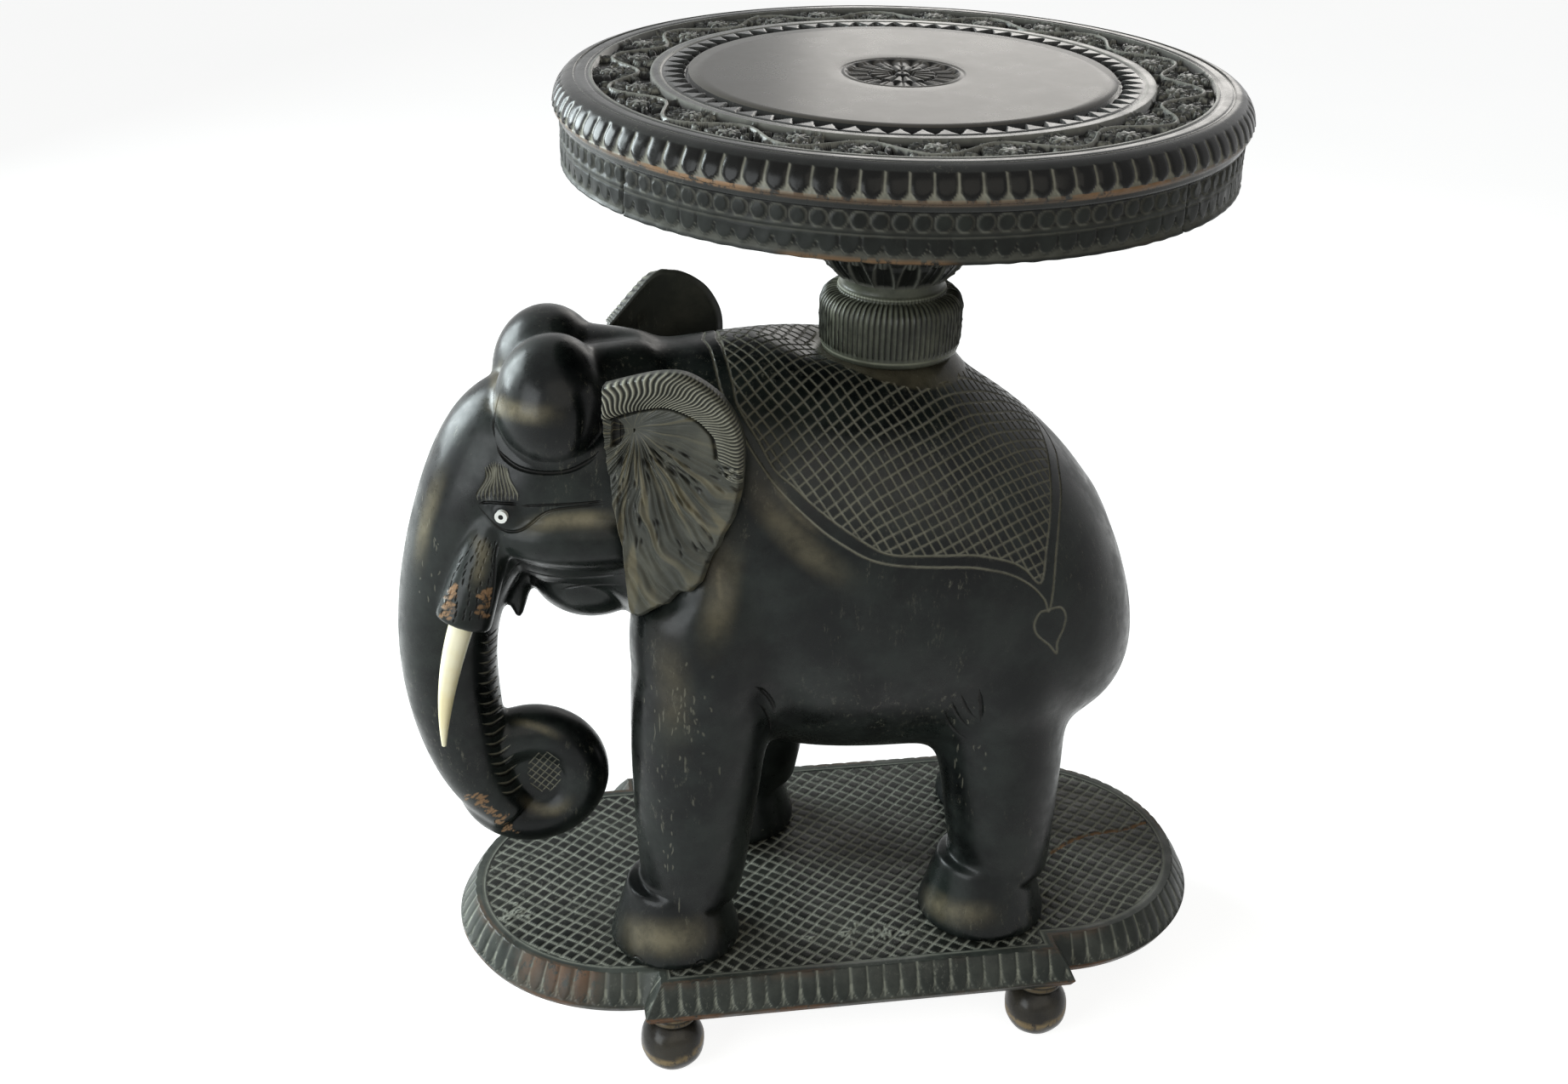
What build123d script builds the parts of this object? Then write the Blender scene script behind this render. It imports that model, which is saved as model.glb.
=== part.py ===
from build123d import *
import math
import os

# Carved elephant stool. Millimetres, +Z up, the elephant faces -X, the floor is Z = 0.
# The elephant's own left side is the -Y side.

# ---- stand: bun feet and base board ----
foot_height = 38.5
foot_bun_radius = 17.5
foot_bun_rise = 15.5
foot_neck_rise = 29.0
foot_bead_rise = 32.0
foot_collar_edge = 3.0
foot_pad_radius = 8.0
foot_neck_radius = 11.0
foot_collar_radius = 14.0
foot_peg_radius = 6.0
foot_peg_length = 12.0
foot_spacing_x = 206.0
foot_spacing_y = 182.0
base_thickness = 20.0
base_end_radius = 96.0
base_end_spacing = 238.0
break_front_length = 238.0
break_front_depth = 12.0
base_edge_band = 4.0
base_edge_inset = 9.0
base_undercut = 2.0

# ---- top: board, apron, leaf cup, pedestal ----
top_radius = 168.5
top_thickness = 19.0
top_moulding_drop = 14.0
top_moulding_width = 11.0
top_underlip = 2.0
outer_ring_width = 8.5
border_width = 28.0
border_depth = 2.5
inner_ring_width = 5.0
dogtooth_width = 13.0
rosette_radius = 28.0
rosette_depth = 4.0
apron_setback = 3.5
apron_wall = 20.0
apron_height = 22.5
apron_joint_angles = (-150.0, -53.0, 33.0, 125.0)
cup_height = 81.0
cup_foot_radius = 28.0
cup_rim_radius = 50.0
cup_rim_rise = 48.0
cup_belly_rise = 12.0
cup_belly_radius = 35.0
cup_hub_radius = 40.0
drum_radius = 35.5
drum_height = 31.0
drum_shoulder = 8.0
drum_foot_round = 1.0
neck_height = 9.0
neck_radius = 26.5
tenon_radius = 11.0
tenon_length = 14.0
seat_x = 21.0
seat_radius = 36.5
seat_flare_radius = 58.0
seat_flare_drop = 26.0
seat_edge_drop = 8.0
seat_dish_radius = 74.0
seat_dish_rise = 12.0

# ---- elephant, heights measured from the top of the base board ----
seat_height = 321.5
leg_radius = 37.0
shin_radius = 34.8
shin_rise = 106.0
ankle_radius = 26.5
ankle_rise = 30.0
hoof_radius = 36.5
hoof_top_radius = 26.0
hoof_height = 38.0
toe_advance = 9.0
leg_spread_y = 54.0
leg_x = {"front_left": -88.0, "front_right": -40.0, "rear_left": 86.0, "rear_right": 122.0}
shoulder_offset = (7.0, 50.0, 184.0)
shoulder_radii = (38.5, 41.0, 66.0)
haunch_offset = (-7.0, 46.0, 165.0)
haunch_radii = (40.0, 44.0, 62.0)
dome_centre = (-152.5, 21.0, 306.5)
dome_radii = (29.0, 33.0, 35.0)
ridge_radius = 27.0
ridge_end = (-100.0, 4.0, 312.0)
ridge_end_radius = 20.0
cheek_centre = (-134.0, 26.0, 243.0)
cheek_radii = (57.0, 33.0, 22.0)
jaw_centre = (-134.0, 0.0, 206.0)
jaw_radii = (34.0, 32.0, 28.0)
lip_top = (-174.0, 0.0, 226.0)
lip_radius = 16.0
lip_tip_radius = 2.0
lip_drop = 52.0
curl_centre = (-170.5, 0.0, 75.5)
curl_ring_radius = 28.0
curl_tube_radius = 14.5
curl_web_radius = 22.0
curl_web_width = 16.0
tail_radius = 5.0
tail_points = ((108.0, 266.0), (131.0, 239.0), (148.0, 205.0), (157.0, 168.0), (156.0, 130.0))

# Ovals across the body from face to rump: place along X, lowest and highest point, half width.
torso_ovals = (
    (-190.0, 235.0, 298.0, 30.0),
    (-178.0, 215.0, 310.0, 42.0),
    (-155.0, 200.0, 320.0, 50.0),
    (-128.0, 190.0, 324.0, 53.0),
    (-105.0, 165.0, 326.0, 58.0),
    (-75.0, 120.0, 329.0, 74.0),
    (-45.0, 100.0, 331.0, 84.0),
    (-10.0, 93.0, 331.0, 91.0),
    (45.0, 92.0, 316.0, 92.0),
    (92.0, 95.0, 287.0, 88.0),
    (123.0, 103.0, 257.0, 78.0),
    (143.0, 117.0, 225.0, 60.0),
    (154.0, 132.0, 195.0, 38.0),
    (159.0, 148.0, 176.0, 15.0),
)

# Ovals along the trunk from face to curl: place along X, height, half depth, half width.
trunk_ovals = (
    (-156.0, 296.0, 28.0, 30.0),
    (-172.0, 276.0, 36.0, 38.0),
    (-195.0, 230.0, 33.0, 36.0),
    (-210.0, 182.0, 27.0, 31.0),
    (-210.0, 128.0, 24.5, 27.0),
    (-199.0, 80.0, 19.0, 22.0),
    (-183.0, 57.0, 15.0, 20.0),
)

# ---- ears, tusks and eyes ----
ear_thickness = 9.0
ear_rim_lift = 4.0
ear_rim_share = 0.8
ear_rim_end = 281.0
ear_flare = 20.0
ear_front_x = {"left": -130.0, "right": -119.0}
ear_front_y = 58.0
ear_root_height = 293.0
ear_tongue_depth = 14.0
ear_tongue_height = 50.0
ear_tongue_low = 246.0
# Corners and rim of the fan: distance behind the front edge, height.
ear_front_top = (0.0, 328.0)
ear_front_bottom = (8.0, 208.0)
ear_rim_points = ((34.0, 336.0), (57.0, 319.0), (65.0, 281.0), (56.0, 243.0), (34.0, 215.0))
sleeve_root = (-184.0, 31.0, 248.0)
sleeve_mouth = (-203.5, 43.0, 197.0)
sleeve_root_radius = 11.0
sleeve_mouth_radius = 15.0
tusk_length = 70.0
tusk_radius = 6.4
tusk_tip_radius = 1.2
tusk_peg_radius = 4.5
tusk_peg_length = 12.0
tusk_tip_forward = 13.0
tusk_tip_out = 3.0
tusk_sections = 4
tusk_taper = 1.5
eye_centre = (-178.0, 37.0, 257.0)
eye_ball_radius = 10.0
eye_white_radius = 3.2
eye_white_depth = 4.0
eye_white_lift = 0.6
eye_pupil_radius = 1.3
eye_pupil_depth = 2.0
eye_look = (-0.35, 1.0, 0.05)

# ---- dowels and clearances ----
dowel_radius = 6.0
dowel_length = 30.0
fit_gap = 0.1
weld = 1.0

# ---- derived heights ----
stand_z = foot_height + base_thickness
drum_z = stand_z + seat_height
cup_z = drum_z + drum_height + neck_height
board_z = cup_z + cup_height
total_height = board_z + top_thickness

# ---- derived radii of the top, from its edge inwards ----
moulding_inner_radius = top_radius - top_moulding_width
border_outer_radius = moulding_inner_radius - outer_ring_width
border_inner_radius = border_outer_radius - border_width
dogtooth_radius = border_inner_radius - inner_ring_width
disc_radius = dogtooth_radius - dogtooth_width
apron_radius = top_radius - apron_setback
SIDES = {"left": -1, "right": 1}


def turned(corners):
    """Solid of revolution about the vertical axis from (radius, height) corners."""
    outline = Polyline(*[(radius, 0, height) for radius, height in corners], close=True)
    return revolve(make_face(outline), Axis.Z)


def upright(radius, low, high, centre_x=0.0, centre_y=0.0):
    """Vertical cylinder between two heights."""
    peg = Cylinder(radius, high - low, align=(Align.CENTER, Align.CENTER, Align.MIN))
    return Pos(centre_x, centre_y, low) * peg


def at_side(point, side):
    """Point of the animal, written for its right side, on either side."""
    x, y, z = point
    return Vector(x, side * y, stand_z + z)


def ellipsoid(centre, radii):
    """Ellipsoid with its half axes along X, Y and Z."""
    return Pos(centre) * scale(Sphere(1.0), by=radii)


# ---------------------------------------------------------------- stand


def bun_foot():
    """Turned foot: pad, bun, bead, collar and the peg that goes into the board."""
    collar_z = foot_height - foot_collar_edge
    with BuildSketch(Plane.XZ) as half:
        with BuildLine():
            Polyline(
                (foot_pad_radius, 0),
                (0, 0),
                (0, foot_height),
                (foot_collar_radius, foot_height),
                (foot_collar_radius, collar_z),
                (foot_neck_radius, foot_bead_rise),
                (foot_neck_radius, foot_neck_rise),
            )
            ThreePointArc(
                (foot_neck_radius, foot_neck_rise),
                (foot_bun_radius, foot_bun_rise),
                (foot_pad_radius, 0),
            )
        make_face()
    peg = upright(foot_peg_radius, foot_height - weld, foot_height + foot_peg_length)
    return revolve(half.sketch, Axis.Z) + peg


def foot_places():
    """Centres of the four bun feet."""
    places = {}
    for end, along in (("front", -1), ("rear", 1)):
        for name, side in SIDES.items():
            place = (along * foot_spacing_x / 2, side * foot_spacing_y / 2)
            places[f"bun_foot_{end}_{name}"] = place
    return places


def leg_places():
    """Ankle centres of the four legs."""
    return [(x, SIDES[name.split("_")[1]] * leg_spread_y) for name, x in leg_x.items()]


def base_plan():
    """Board outline: rounded ends and a break front on both long sides."""
    width = 2 * base_end_radius
    break_front = Rectangle(break_front_length, width + 2 * break_front_depth)
    return SlotCenterToCenter(base_end_spacing, width) + break_front


def base_board():
    """Board with an undercut lower band and a sloped, moulded upper edge."""
    slope_height = base_thickness - base_edge_band
    slope_z = foot_height + base_edge_band
    taper = math.degrees(math.atan2(base_edge_inset, slope_height))
    undercut = math.degrees(math.atan2(base_undercut, base_edge_band))
    board = Pos(0, 0, slope_z) * extrude(base_plan(), -base_edge_band, taper=undercut)
    board += extrude(Pos(0, 0, slope_z) * base_plan(), slope_height, taper=taper)
    peg_top = foot_height + foot_peg_length + fit_gap
    for place in foot_places().values():
        board -= upright(foot_peg_radius + fit_gap, foot_height - weld, peg_top, *place)
    dowel_low = stand_z - dowel_length / 2 - fit_gap
    for place in leg_places():
        board -= upright(dowel_radius + fit_gap, dowel_low, stand_z + weld, *place)
    return board


def leg_dowels():
    """Four dowels, half in the board and half in the elephant's feet."""
    low = stand_z - dowel_length / 2
    high = stand_z + dowel_length / 2
    return [upright(dowel_radius, low, high, *place) for place in leg_places()]


# ---------------------------------------------------------------- top


def table_top():
    """Turned board: rosette, plain disc, notched ring, sunk border and convex edge."""
    top = total_height
    edge_low = top - top_moulding_drop
    half_round = math.sqrt(0.5)
    bulge = (
        moulding_inner_radius + top_moulding_width * half_round,
        top - top_moulding_drop * (1 - half_round),
    )
    with BuildSketch(Plane.XZ) as half:
        with BuildLine():
            Polyline(
                (moulding_inner_radius, top),
                (border_outer_radius, top),
                (border_outer_radius, top - border_depth),
                (border_inner_radius, top - border_depth),
                (border_inner_radius, top),
                (dogtooth_radius, top),
                (disc_radius, top - border_depth),
                (disc_radius, top),
                (rosette_radius, top),
            )
            Line((rosette_radius, top), (0, top - rosette_depth))
            Polyline(
                (0, top - rosette_depth),
                (0, board_z),
                (apron_radius, board_z),
                (apron_radius, edge_low - top_underlip),
                (top_radius, edge_low),
            )
            ThreePointArc((top_radius, edge_low), bulge, (moulding_inner_radius, top))
        make_face()
    socket = upright(tenon_radius + fit_gap, board_z - weld, board_z + tenon_length / 2 + fit_gap)
    return Pos(seat_x, 0, 0) * (revolve(half.sketch, Axis.Z) - socket)


def apron_segment(start, end):
    """Curved length of the band under the board between two joint angles."""
    low = board_z - apron_height
    inner = apron_radius - apron_wall
    corners = [(inner, low), (apron_radius, low), (apron_radius, board_z), (inner, board_z)]
    outline = Polyline(*[(radius, 0, height) for radius, height in corners], close=True)
    segment = revolve(make_face(outline), Axis.Z, revolution_arc=(end - start) % 360)
    return Pos(seat_x, 0, 0) * Rot(0, 0, start) * segment


def leaf_cup():
    """Cup between the neck and the board, bored for the pedestal's tenon."""
    bore = tenon_radius + fit_gap
    rim_z = cup_z + cup_rim_rise
    with BuildSketch(Plane.XZ) as half:
        with BuildLine():
            Polyline(
                (cup_foot_radius, cup_z),
                (bore, cup_z),
                (bore, board_z),
                (cup_hub_radius, board_z),
                (cup_hub_radius, rim_z),
                (cup_rim_radius, rim_z),
            )
            ThreePointArc(
                (cup_rim_radius, rim_z),
                (cup_belly_radius, cup_z + cup_belly_rise),
                (cup_foot_radius, cup_z),
            )
        make_face()
    return Pos(seat_x, 0, 0) * revolve(half.sketch, Axis.Z)


def pedestal():
    """Drum with rounded shoulders, neck, and a tenon at each end."""
    drum_top = drum_z + drum_height
    shoulder_z = drum_top - drum_shoulder
    with BuildSketch(Plane.XZ) as half:
        with BuildLine():
            Polyline(
                (drum_radius - drum_shoulder, drum_top),
                (neck_radius, drum_top),
                (neck_radius, cup_z),
                (0, cup_z),
                (0, drum_z),
                (drum_radius - drum_foot_round, drum_z),
                (drum_radius, shoulder_z),
            )
            RadiusArc(
                (drum_radius, shoulder_z), (drum_radius - drum_shoulder, drum_top), -drum_shoulder
            )
        make_face()
    upper = upright(tenon_radius, cup_z - weld, board_z + tenon_length / 2)
    lower = upright(tenon_radius, drum_z - tenon_length, drum_z + weld)
    return Pos(seat_x, 0, 0) * (revolve(half.sketch, Axis.Z) + upper + lower)


# ---------------------------------------------------------------- elephant


def torso():
    """Barrel of the animal, lofted from the face to the rump."""
    ovals = []
    for x, low, high, half_width in torso_ovals:
        middle = stand_z + (low + high) / 2
        across = Plane(origin=(x, 0, middle), x_dir=(0, 1, 0), z_dir=(1, 0, 0))
        ovals.append(across * Ellipse(half_width, (high - low) / 2))
    return loft(ovals)


def trunk():
    """Trunk lofted from the face down to its curl."""
    centres = [Vector(x, 0, stand_z + z) for x, z, _, _ in trunk_ovals]
    last = len(centres) - 1
    ovals = []
    for index, (_, _, half_depth, half_width) in enumerate(trunk_ovals):
        heading = centres[min(index + 1, last)] - centres[max(index - 1, 0)]
        across = Plane(origin=centres[index], x_dir=(0, 1, 0), z_dir=heading.normalized())
        ovals.append(across * Ellipse(half_width, half_depth))
    return loft(ovals)


def curl():
    """Rolled end of the trunk, with the wood left inside the roll."""
    ring = Torus(curl_ring_radius, curl_tube_radius)
    web = Cylinder(curl_web_radius, curl_web_width)
    return Pos(at_side(curl_centre, 1)) * Rot(90, 0, 0) * (ring + web)


def limb_root(name):
    """Centre and half axes of the shoulder or haunch that joins a leg to the barrel."""
    at_front = "front" in name
    along, spread, rise = shoulder_offset if at_front else haunch_offset
    centre = at_side((leg_x[name] + along, spread, rise), SIDES[name.split("_")[1]])
    return centre, shoulder_radii if at_front else haunch_radii


def leg(name, centre_x, centre_y):
    """Shoulder or haunch, a leg that narrows down to the ankle, and its flared foot."""
    root, radii = limb_root(name)
    foot = Vector(centre_x, centre_y, stand_z)
    shin_share = (shin_rise - ankle_rise) / (root.Z - stand_z - ankle_rise)
    ankle = foot + Vector(0, 0, ankle_rise)
    shin = ankle + (root - ankle) * shin_share
    rounds = [(ankle, ankle_radius), (shin, shin_radius), (root, leg_radius)]
    shaft = loft([Pos(middle) * Circle(radius) for middle, radius in rounds])
    on_end = (Align.CENTER, Align.CENTER, Align.MIN)
    hoof = Cone(hoof_radius, hoof_top_radius, hoof_height, align=on_end)
    return [ellipsoid(root, radii), shaft, Pos(foot - Vector(toe_advance, 0, 0)) * hoof]


def ridge(side):
    """Ridge that runs back from a dome of the forehead into the neck."""
    start = at_side(dome_centre, side)
    run = at_side(ridge_end, side) - start
    cone = Cone(
        ridge_radius, ridge_end_radius, run.length, align=(Align.CENTER, Align.CENTER, Align.MIN)
    )
    return Plane(origin=start, z_dir=run.normalized()) * cone


def sleeve_heading(side):
    """Direction in which a tusk leaves its sleeve."""
    return (at_side(sleeve_mouth, side) - at_side(sleeve_root, side)).normalized()


def sleeve(side):
    """Sleeve of flesh that holds a tusk."""
    root = at_side(sleeve_root, side)
    length = (at_side(sleeve_mouth, side) - root).length
    on_end = (Align.CENTER, Align.CENTER, Align.MIN)
    cone = Cone(sleeve_root_radius, sleeve_mouth_radius, length, align=on_end)
    return Plane(origin=root, z_dir=sleeve_heading(side)) * cone


def tusk_peg(side, radius, depth):
    """Cylinder along the sleeve, from a depth inside it to just past its mouth."""
    heading = sleeve_heading(side)
    start = at_side(sleeve_mouth, side) - heading * depth
    peg = Cylinder(radius, depth + weld, align=(Align.CENTER, Align.CENTER, Align.MIN))
    return Plane(origin=start, z_dir=heading) * peg


def tusk(side):
    """Bone tusk that curves forward, with a peg in its sleeve."""
    heading = sleeve_heading(side)
    mouth = at_side(sleeve_mouth, side)
    tip = mouth + Vector(-tusk_tip_forward, side * tusk_tip_out, -tusk_length)
    path = Spline(mouth, tip, tangents=[heading, tip - mouth - heading * (tusk_length / 2)])
    rings = []
    for index in range(tusk_sections):
        share = index / (tusk_sections - 1)
        radius = tusk_radius + (tusk_tip_radius - tusk_radius) * share**tusk_taper
        rings.append(Plane(origin=path @ share, z_dir=path % share) * Circle(radius))
    return loft(rings) + tusk_peg(side, tusk_peg_radius, tusk_peg_length)


def eye_plane(side):
    """Plane through the middle of an eye that faces where the eye looks."""
    forward, outward, upward = eye_look
    return Plane(origin=at_side(eye_centre, side), z_dir=Vector(forward, side * outward, upward))


def eye_ball(side):
    """Bulge of an eye."""
    return eye_plane(side) * Sphere(eye_ball_radius)


def eye_peg(side, radius, depth):
    """Round peg set into an eye from its outer face inwards."""
    peg = Cylinder(radius, depth, align=(Align.CENTER, Align.CENTER, Align.MAX))
    return eye_plane(side) * (Pos(0, 0, eye_ball_radius + eye_white_lift) * peg)


def ear_plane(side, lift=0.0):
    """Plane of an ear's inner face, moved outwards by a lift; its Y is up."""
    flare = math.radians(ear_flare)
    along = Vector(math.cos(flare), side * math.sin(flare), 0)
    outward = Vector(-math.sin(flare), side * math.cos(flare), 0)
    front = ear_front_x["left"] if side < 0 else ear_front_x["right"]
    origin = Vector(front, side * ear_front_y, stand_z) + outward * lift
    return Plane(origin=origin, x_dir=along, z_dir=outward * -side)


def ear(side):
    """Flat fan with a raised rim, flared away from the neck, and its tongue."""
    with BuildSketch() as fan:
        with BuildLine():
            Spline(ear_front_top, *ear_rim_points, ear_front_bottom)
            Line(ear_front_bottom, ear_front_top)
        make_face()
    fan = fan.sketch
    root_shift = ear_root_height * (1 - ear_rim_share)
    inner = Pos(0, root_shift, 0) * scale(fan, ear_rim_share)
    low_half = Rectangle(fan.bounding_box().size.X * 2, ear_rim_end, align=(Align.CENTER, Align.MIN))
    rim = fan - inner - low_half
    plate = extrude(ear_plane(side) * fan, -side * ear_thickness)
    rim = extrude(ear_plane(side, ear_thickness - weld) * rim, -side * (ear_rim_lift + weld))
    slip = Rectangle(ear_thickness, ear_tongue_height, align=(Align.MIN, Align.MIN))
    slip = Pos(ear_front_bottom[0], ear_tongue_low, 0) * slip
    tongue = extrude(ear_plane(side, weld) * slip, side * (ear_tongue_depth + weld))
    return plate + rim + tongue


def tail():
    """Tail carved against the rump."""
    path = Spline(*[(x, 0, stand_z + z) for x, z in tail_points])
    return sweep(Plane(origin=path @ 0, z_dir=path % 0) * Circle(tail_radius), path=path)


def collar():
    """Carved seat under the pedestal, flaring into the back."""
    low = drum_z - seat_flare_drop
    seat = turned(
        [
            (0, drum_z),
            (seat_radius, drum_z),
            (seat_radius + fit_gap, drum_z - seat_edge_drop),
            (seat_flare_radius, low),
            (0, low),
        ]
    )
    return Pos(seat_x, 0, 0) * seat


def dish():
    """Shallow dish in the back that leaves the foot of the pedestal free."""
    rim = drum_z + seat_dish_rise
    corners = [(0, drum_z), (seat_radius, drum_z), (seat_dish_radius, rim), (0, rim)]
    return Pos(seat_x, 0, 0) * turned(corners)


def lip():
    """Pointed lower lip."""
    cone = Cone(lip_tip_radius, lip_radius, lip_drop, align=(Align.CENTER, Align.CENTER, Align.MAX))
    return Pos(at_side(lip_top, 1)) * cone


def elephant_body(ears):
    """The one carved block, with a hole or slot for everything that is set into it."""
    block = trunk().fuse(curl())
    block = block.fuse(torso())
    block = block.fuse(lip())
    block = block.fuse(ellipsoid(at_side(jaw_centre, 1), jaw_radii))
    for side in SIDES.values():
        block = block.fuse(ellipsoid(at_side(cheek_centre, side), cheek_radii))
        block = block.fuse(ellipsoid(at_side(dome_centre, side), dome_radii))
        block = block.fuse(ridge(side))
        block = block.fuse(sleeve(side))
        block = block.fuse(eye_ball(side))
    for name, place in zip(leg_x, leg_places()):
        block = block.fuse(*leg(name, *place))
    block = block.fuse(collar(), tail())
    peg_depth = tusk_peg_length + fit_gap
    for side in SIDES.values():
        block = block.cut(tusk_peg(side, tusk_peg_radius + fit_gap, peg_depth))
        block = block.cut(eye_peg(side, eye_white_radius, eye_white_depth))
    for place in leg_places():
        dowel_high = stand_z + dowel_length / 2 + fit_gap
        block = block.cut(upright(dowel_radius + fit_gap, stand_z - weld, dowel_high, *place))
    tenon_low = drum_z - tenon_length - fit_gap
    block = block.cut(upright(tenon_radius + fit_gap, tenon_low, drum_z + weld, seat_x))
    block = block.cut(dish())
    return block.cut(*ears)


def build_pieces():
    """Every piece of the stool by its name."""
    pieces = {"base_board": base_board(), "leg_dowels": leg_dowels()}
    for name, (centre_x, centre_y) in foot_places().items():
        pieces[name] = Pos(centre_x, centre_y, 0) * bun_foot()
    pieces.update(table_top=table_top(), leaf_cup=leaf_cup(), pedestal=pedestal())
    ends = apron_joint_angles[1:] + apron_joint_angles[:1]
    for index, (start, end) in enumerate(zip(apron_joint_angles, ends)):
        pieces[f"apron_segment_{index + 1}"] = apron_segment(start, end)
    for name, side in SIDES.items():
        pupil = eye_peg(side, eye_pupil_radius, eye_pupil_depth)
        pieces[f"eye_pupil_{name}"] = pupil
        pieces[f"eye_white_{name}"] = eye_peg(side, eye_white_radius, eye_white_depth) - pupil
        pieces[f"tusk_{name}"] = tusk(side)
        pieces[f"ear_{name}"] = ear(side)
    pieces["elephant_body"] = elephant_body([pieces["ear_left"], pieces["ear_right"]])
    return pieces


def solids_of(piece):
    """The solids of one piece as a list."""
    solids = []
    for shape in piece if isinstance(piece, list) else [piece]:
        solids += shape.solids()
    return solids


def main():
    """Centre the stool on the origin and write one file a piece."""
    pieces = {name: solids_of(piece) for name, piece in build_pieces().items()}
    box = Compound([solid for solids in pieces.values() for solid in solids]).bounding_box()
    shift = Pos(-(box.min.X + box.max.X) / 2, -(box.min.Y + box.max.Y) / 2, 0)
    os.makedirs("parts", exist_ok=True)
    for name, solids in pieces.items():
        shape = Compound([shift * solid for solid in solids])
        print(name, len(solids), "solids", round(shape.volume), "mm3, valid", shape.is_valid)
        export_step(shape, f"parts/{name}.step")
    print("size", box.size, "moved by", shift.position)


main()
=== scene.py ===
import bmesh
import bpy
import numpy as np
import openvdb
from mathutils import Matrix, Vector


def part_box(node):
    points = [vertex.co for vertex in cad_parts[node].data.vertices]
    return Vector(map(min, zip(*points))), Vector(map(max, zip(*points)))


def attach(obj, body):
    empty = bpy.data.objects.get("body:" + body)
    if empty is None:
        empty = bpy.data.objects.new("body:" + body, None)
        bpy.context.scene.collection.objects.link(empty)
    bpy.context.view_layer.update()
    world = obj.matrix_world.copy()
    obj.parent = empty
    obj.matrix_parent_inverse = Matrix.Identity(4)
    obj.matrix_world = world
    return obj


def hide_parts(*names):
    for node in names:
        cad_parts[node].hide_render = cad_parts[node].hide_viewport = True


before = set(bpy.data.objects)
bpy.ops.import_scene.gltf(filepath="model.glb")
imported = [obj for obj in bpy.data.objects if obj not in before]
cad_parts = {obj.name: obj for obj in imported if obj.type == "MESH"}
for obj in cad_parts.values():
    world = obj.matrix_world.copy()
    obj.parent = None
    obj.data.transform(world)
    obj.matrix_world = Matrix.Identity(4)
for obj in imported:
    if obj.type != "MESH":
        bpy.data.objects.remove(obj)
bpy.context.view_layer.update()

# Everything below is in millimetres, with the origin under the middle of the base board,
# and goes to the frame's metres in to_frame().
SEAT_X = 21.0
TOP_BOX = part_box("table_top")
SHIFT = (TOP_BOX[0].x + TOP_BOX[1].x) / 2 * 1000 - SEAT_X
STAND_Z = 58.5
TURN = 2 * np.pi


def to_frame(points):
    """Points in millimetres about the base's middle, as the frame's metres."""
    return (np.asarray(points, float) + (SHIFT, 0, 0)) / 1000


# ---------------------------------------------------------------- camera
# The picture is 1843 x 1274 pixels; the focal length is in the same pixels.
PICTURE_WIDTH = 1843.0
MID_X, MID_Y = 921.5, 637.0
FOCAL = 2250.0
AZ, PITCH, ROLL = np.radians([-9.967, 26.894, 1.343])
EYE = np.array([-190.0, -902.0, 734.0])
SENSOR_WIDTH = 36.0
BACK = np.array([np.sin(AZ) * np.cos(PITCH), -np.cos(AZ) * np.cos(PITCH), np.sin(PITCH)])
FLAT = np.array([np.cos(AZ), np.sin(AZ), 0.0])
UP0 = np.cross(BACK, FLAT)
RIGHT = np.cos(ROLL) * FLAT + np.sin(ROLL) * UP0
UP = -np.sin(ROLL) * FLAT + np.cos(ROLL) * UP0


def make_camera():
    data = bpy.data.cameras.new("camera")
    data.sensor_width = SENSOR_WIDTH
    data.lens = FOCAL * SENSOR_WIDTH / PICTURE_WIDTH
    data.clip_start = 0.05
    data.clip_end = 50.0
    camera = bpy.data.objects.new("camera", data)
    bpy.context.scene.collection.objects.link(camera)
    turn = Matrix([[RIGHT[i], UP[i], BACK[i]] for i in range(3)]).to_4x4()
    camera.matrix_world = Matrix.Translation(Vector(to_frame(EYE))) @ turn
    bpy.context.scene.camera = camera


def rays(pixels):
    """Directions from the camera through pixels of the picture."""
    pixels = np.asarray(pixels, float).reshape(-1, 2)
    across = (pixels[:, 0] - MID_X) / FOCAL
    down = (pixels[:, 1] - MID_Y) / FOCAL
    aim = across[:, None] * RIGHT - down[:, None] * UP - BACK
    return aim / np.linalg.norm(aim, axis=1)[:, None]


# ---------------------------------------------------------------- small forms
def ramp(value, low, high):
    """Smooth step from 0 at low to 1 at high."""
    share = np.clip((value - low) / (high - low), 0, 1)
    return share * share * (3 - 2 * share)


def bell(value, width):
    """1 at zero, falling off smoothly over about width."""
    return np.exp(-((value / width) ** 2))


def dome(value):
    """Half round over -1..1, 0 outside."""
    return np.sqrt(np.clip(1 - value**2, 0, 1))


def cut_form(gap, width):
    """Share of a groove at a distance from its middle."""
    return np.clip(1 - (gap / width) ** 2, 0, 1)


def saw(angle, count, phase=0.0):
    """Place within a repeat, -0.5..0.5, and the number of the repeat."""
    turns = angle / TURN * count + phase
    number = np.floor(turns)
    return turns - number - 0.5, number


def shake(number, seed, size=1.0):
    """Fixed random value for each numbered repeat."""
    value = np.sin(number * 127.1 + seed * 311.7) * 43758.5453
    return size * 2 * (value - np.floor(value) - 0.5)


def wobble(points, size, seed):
    """Smooth random value about -1..1 that changes over a distance of about size."""
    points = np.asarray(points, float) / size
    draw = np.random.default_rng(seed)
    total = np.zeros(points.shape[:-1])
    for _ in range(5):
        way = draw.normal(size=points.shape[-1])
        way /= np.linalg.norm(way)
        total += np.sin(points @ way * draw.uniform(3, 6.5) + draw.uniform(0, 6.28))
    return total / 2.5


# ---------------------------------------------------------------- volume
VOXEL = 1.8
BAND = 14.0
# A ray to the animal starts this far from the camera, and moves on by no more than LONGEST_STEP.
RAY_START = 500.0
RAY_STEPS = 400
LONGEST_STEP = 12.0


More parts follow.
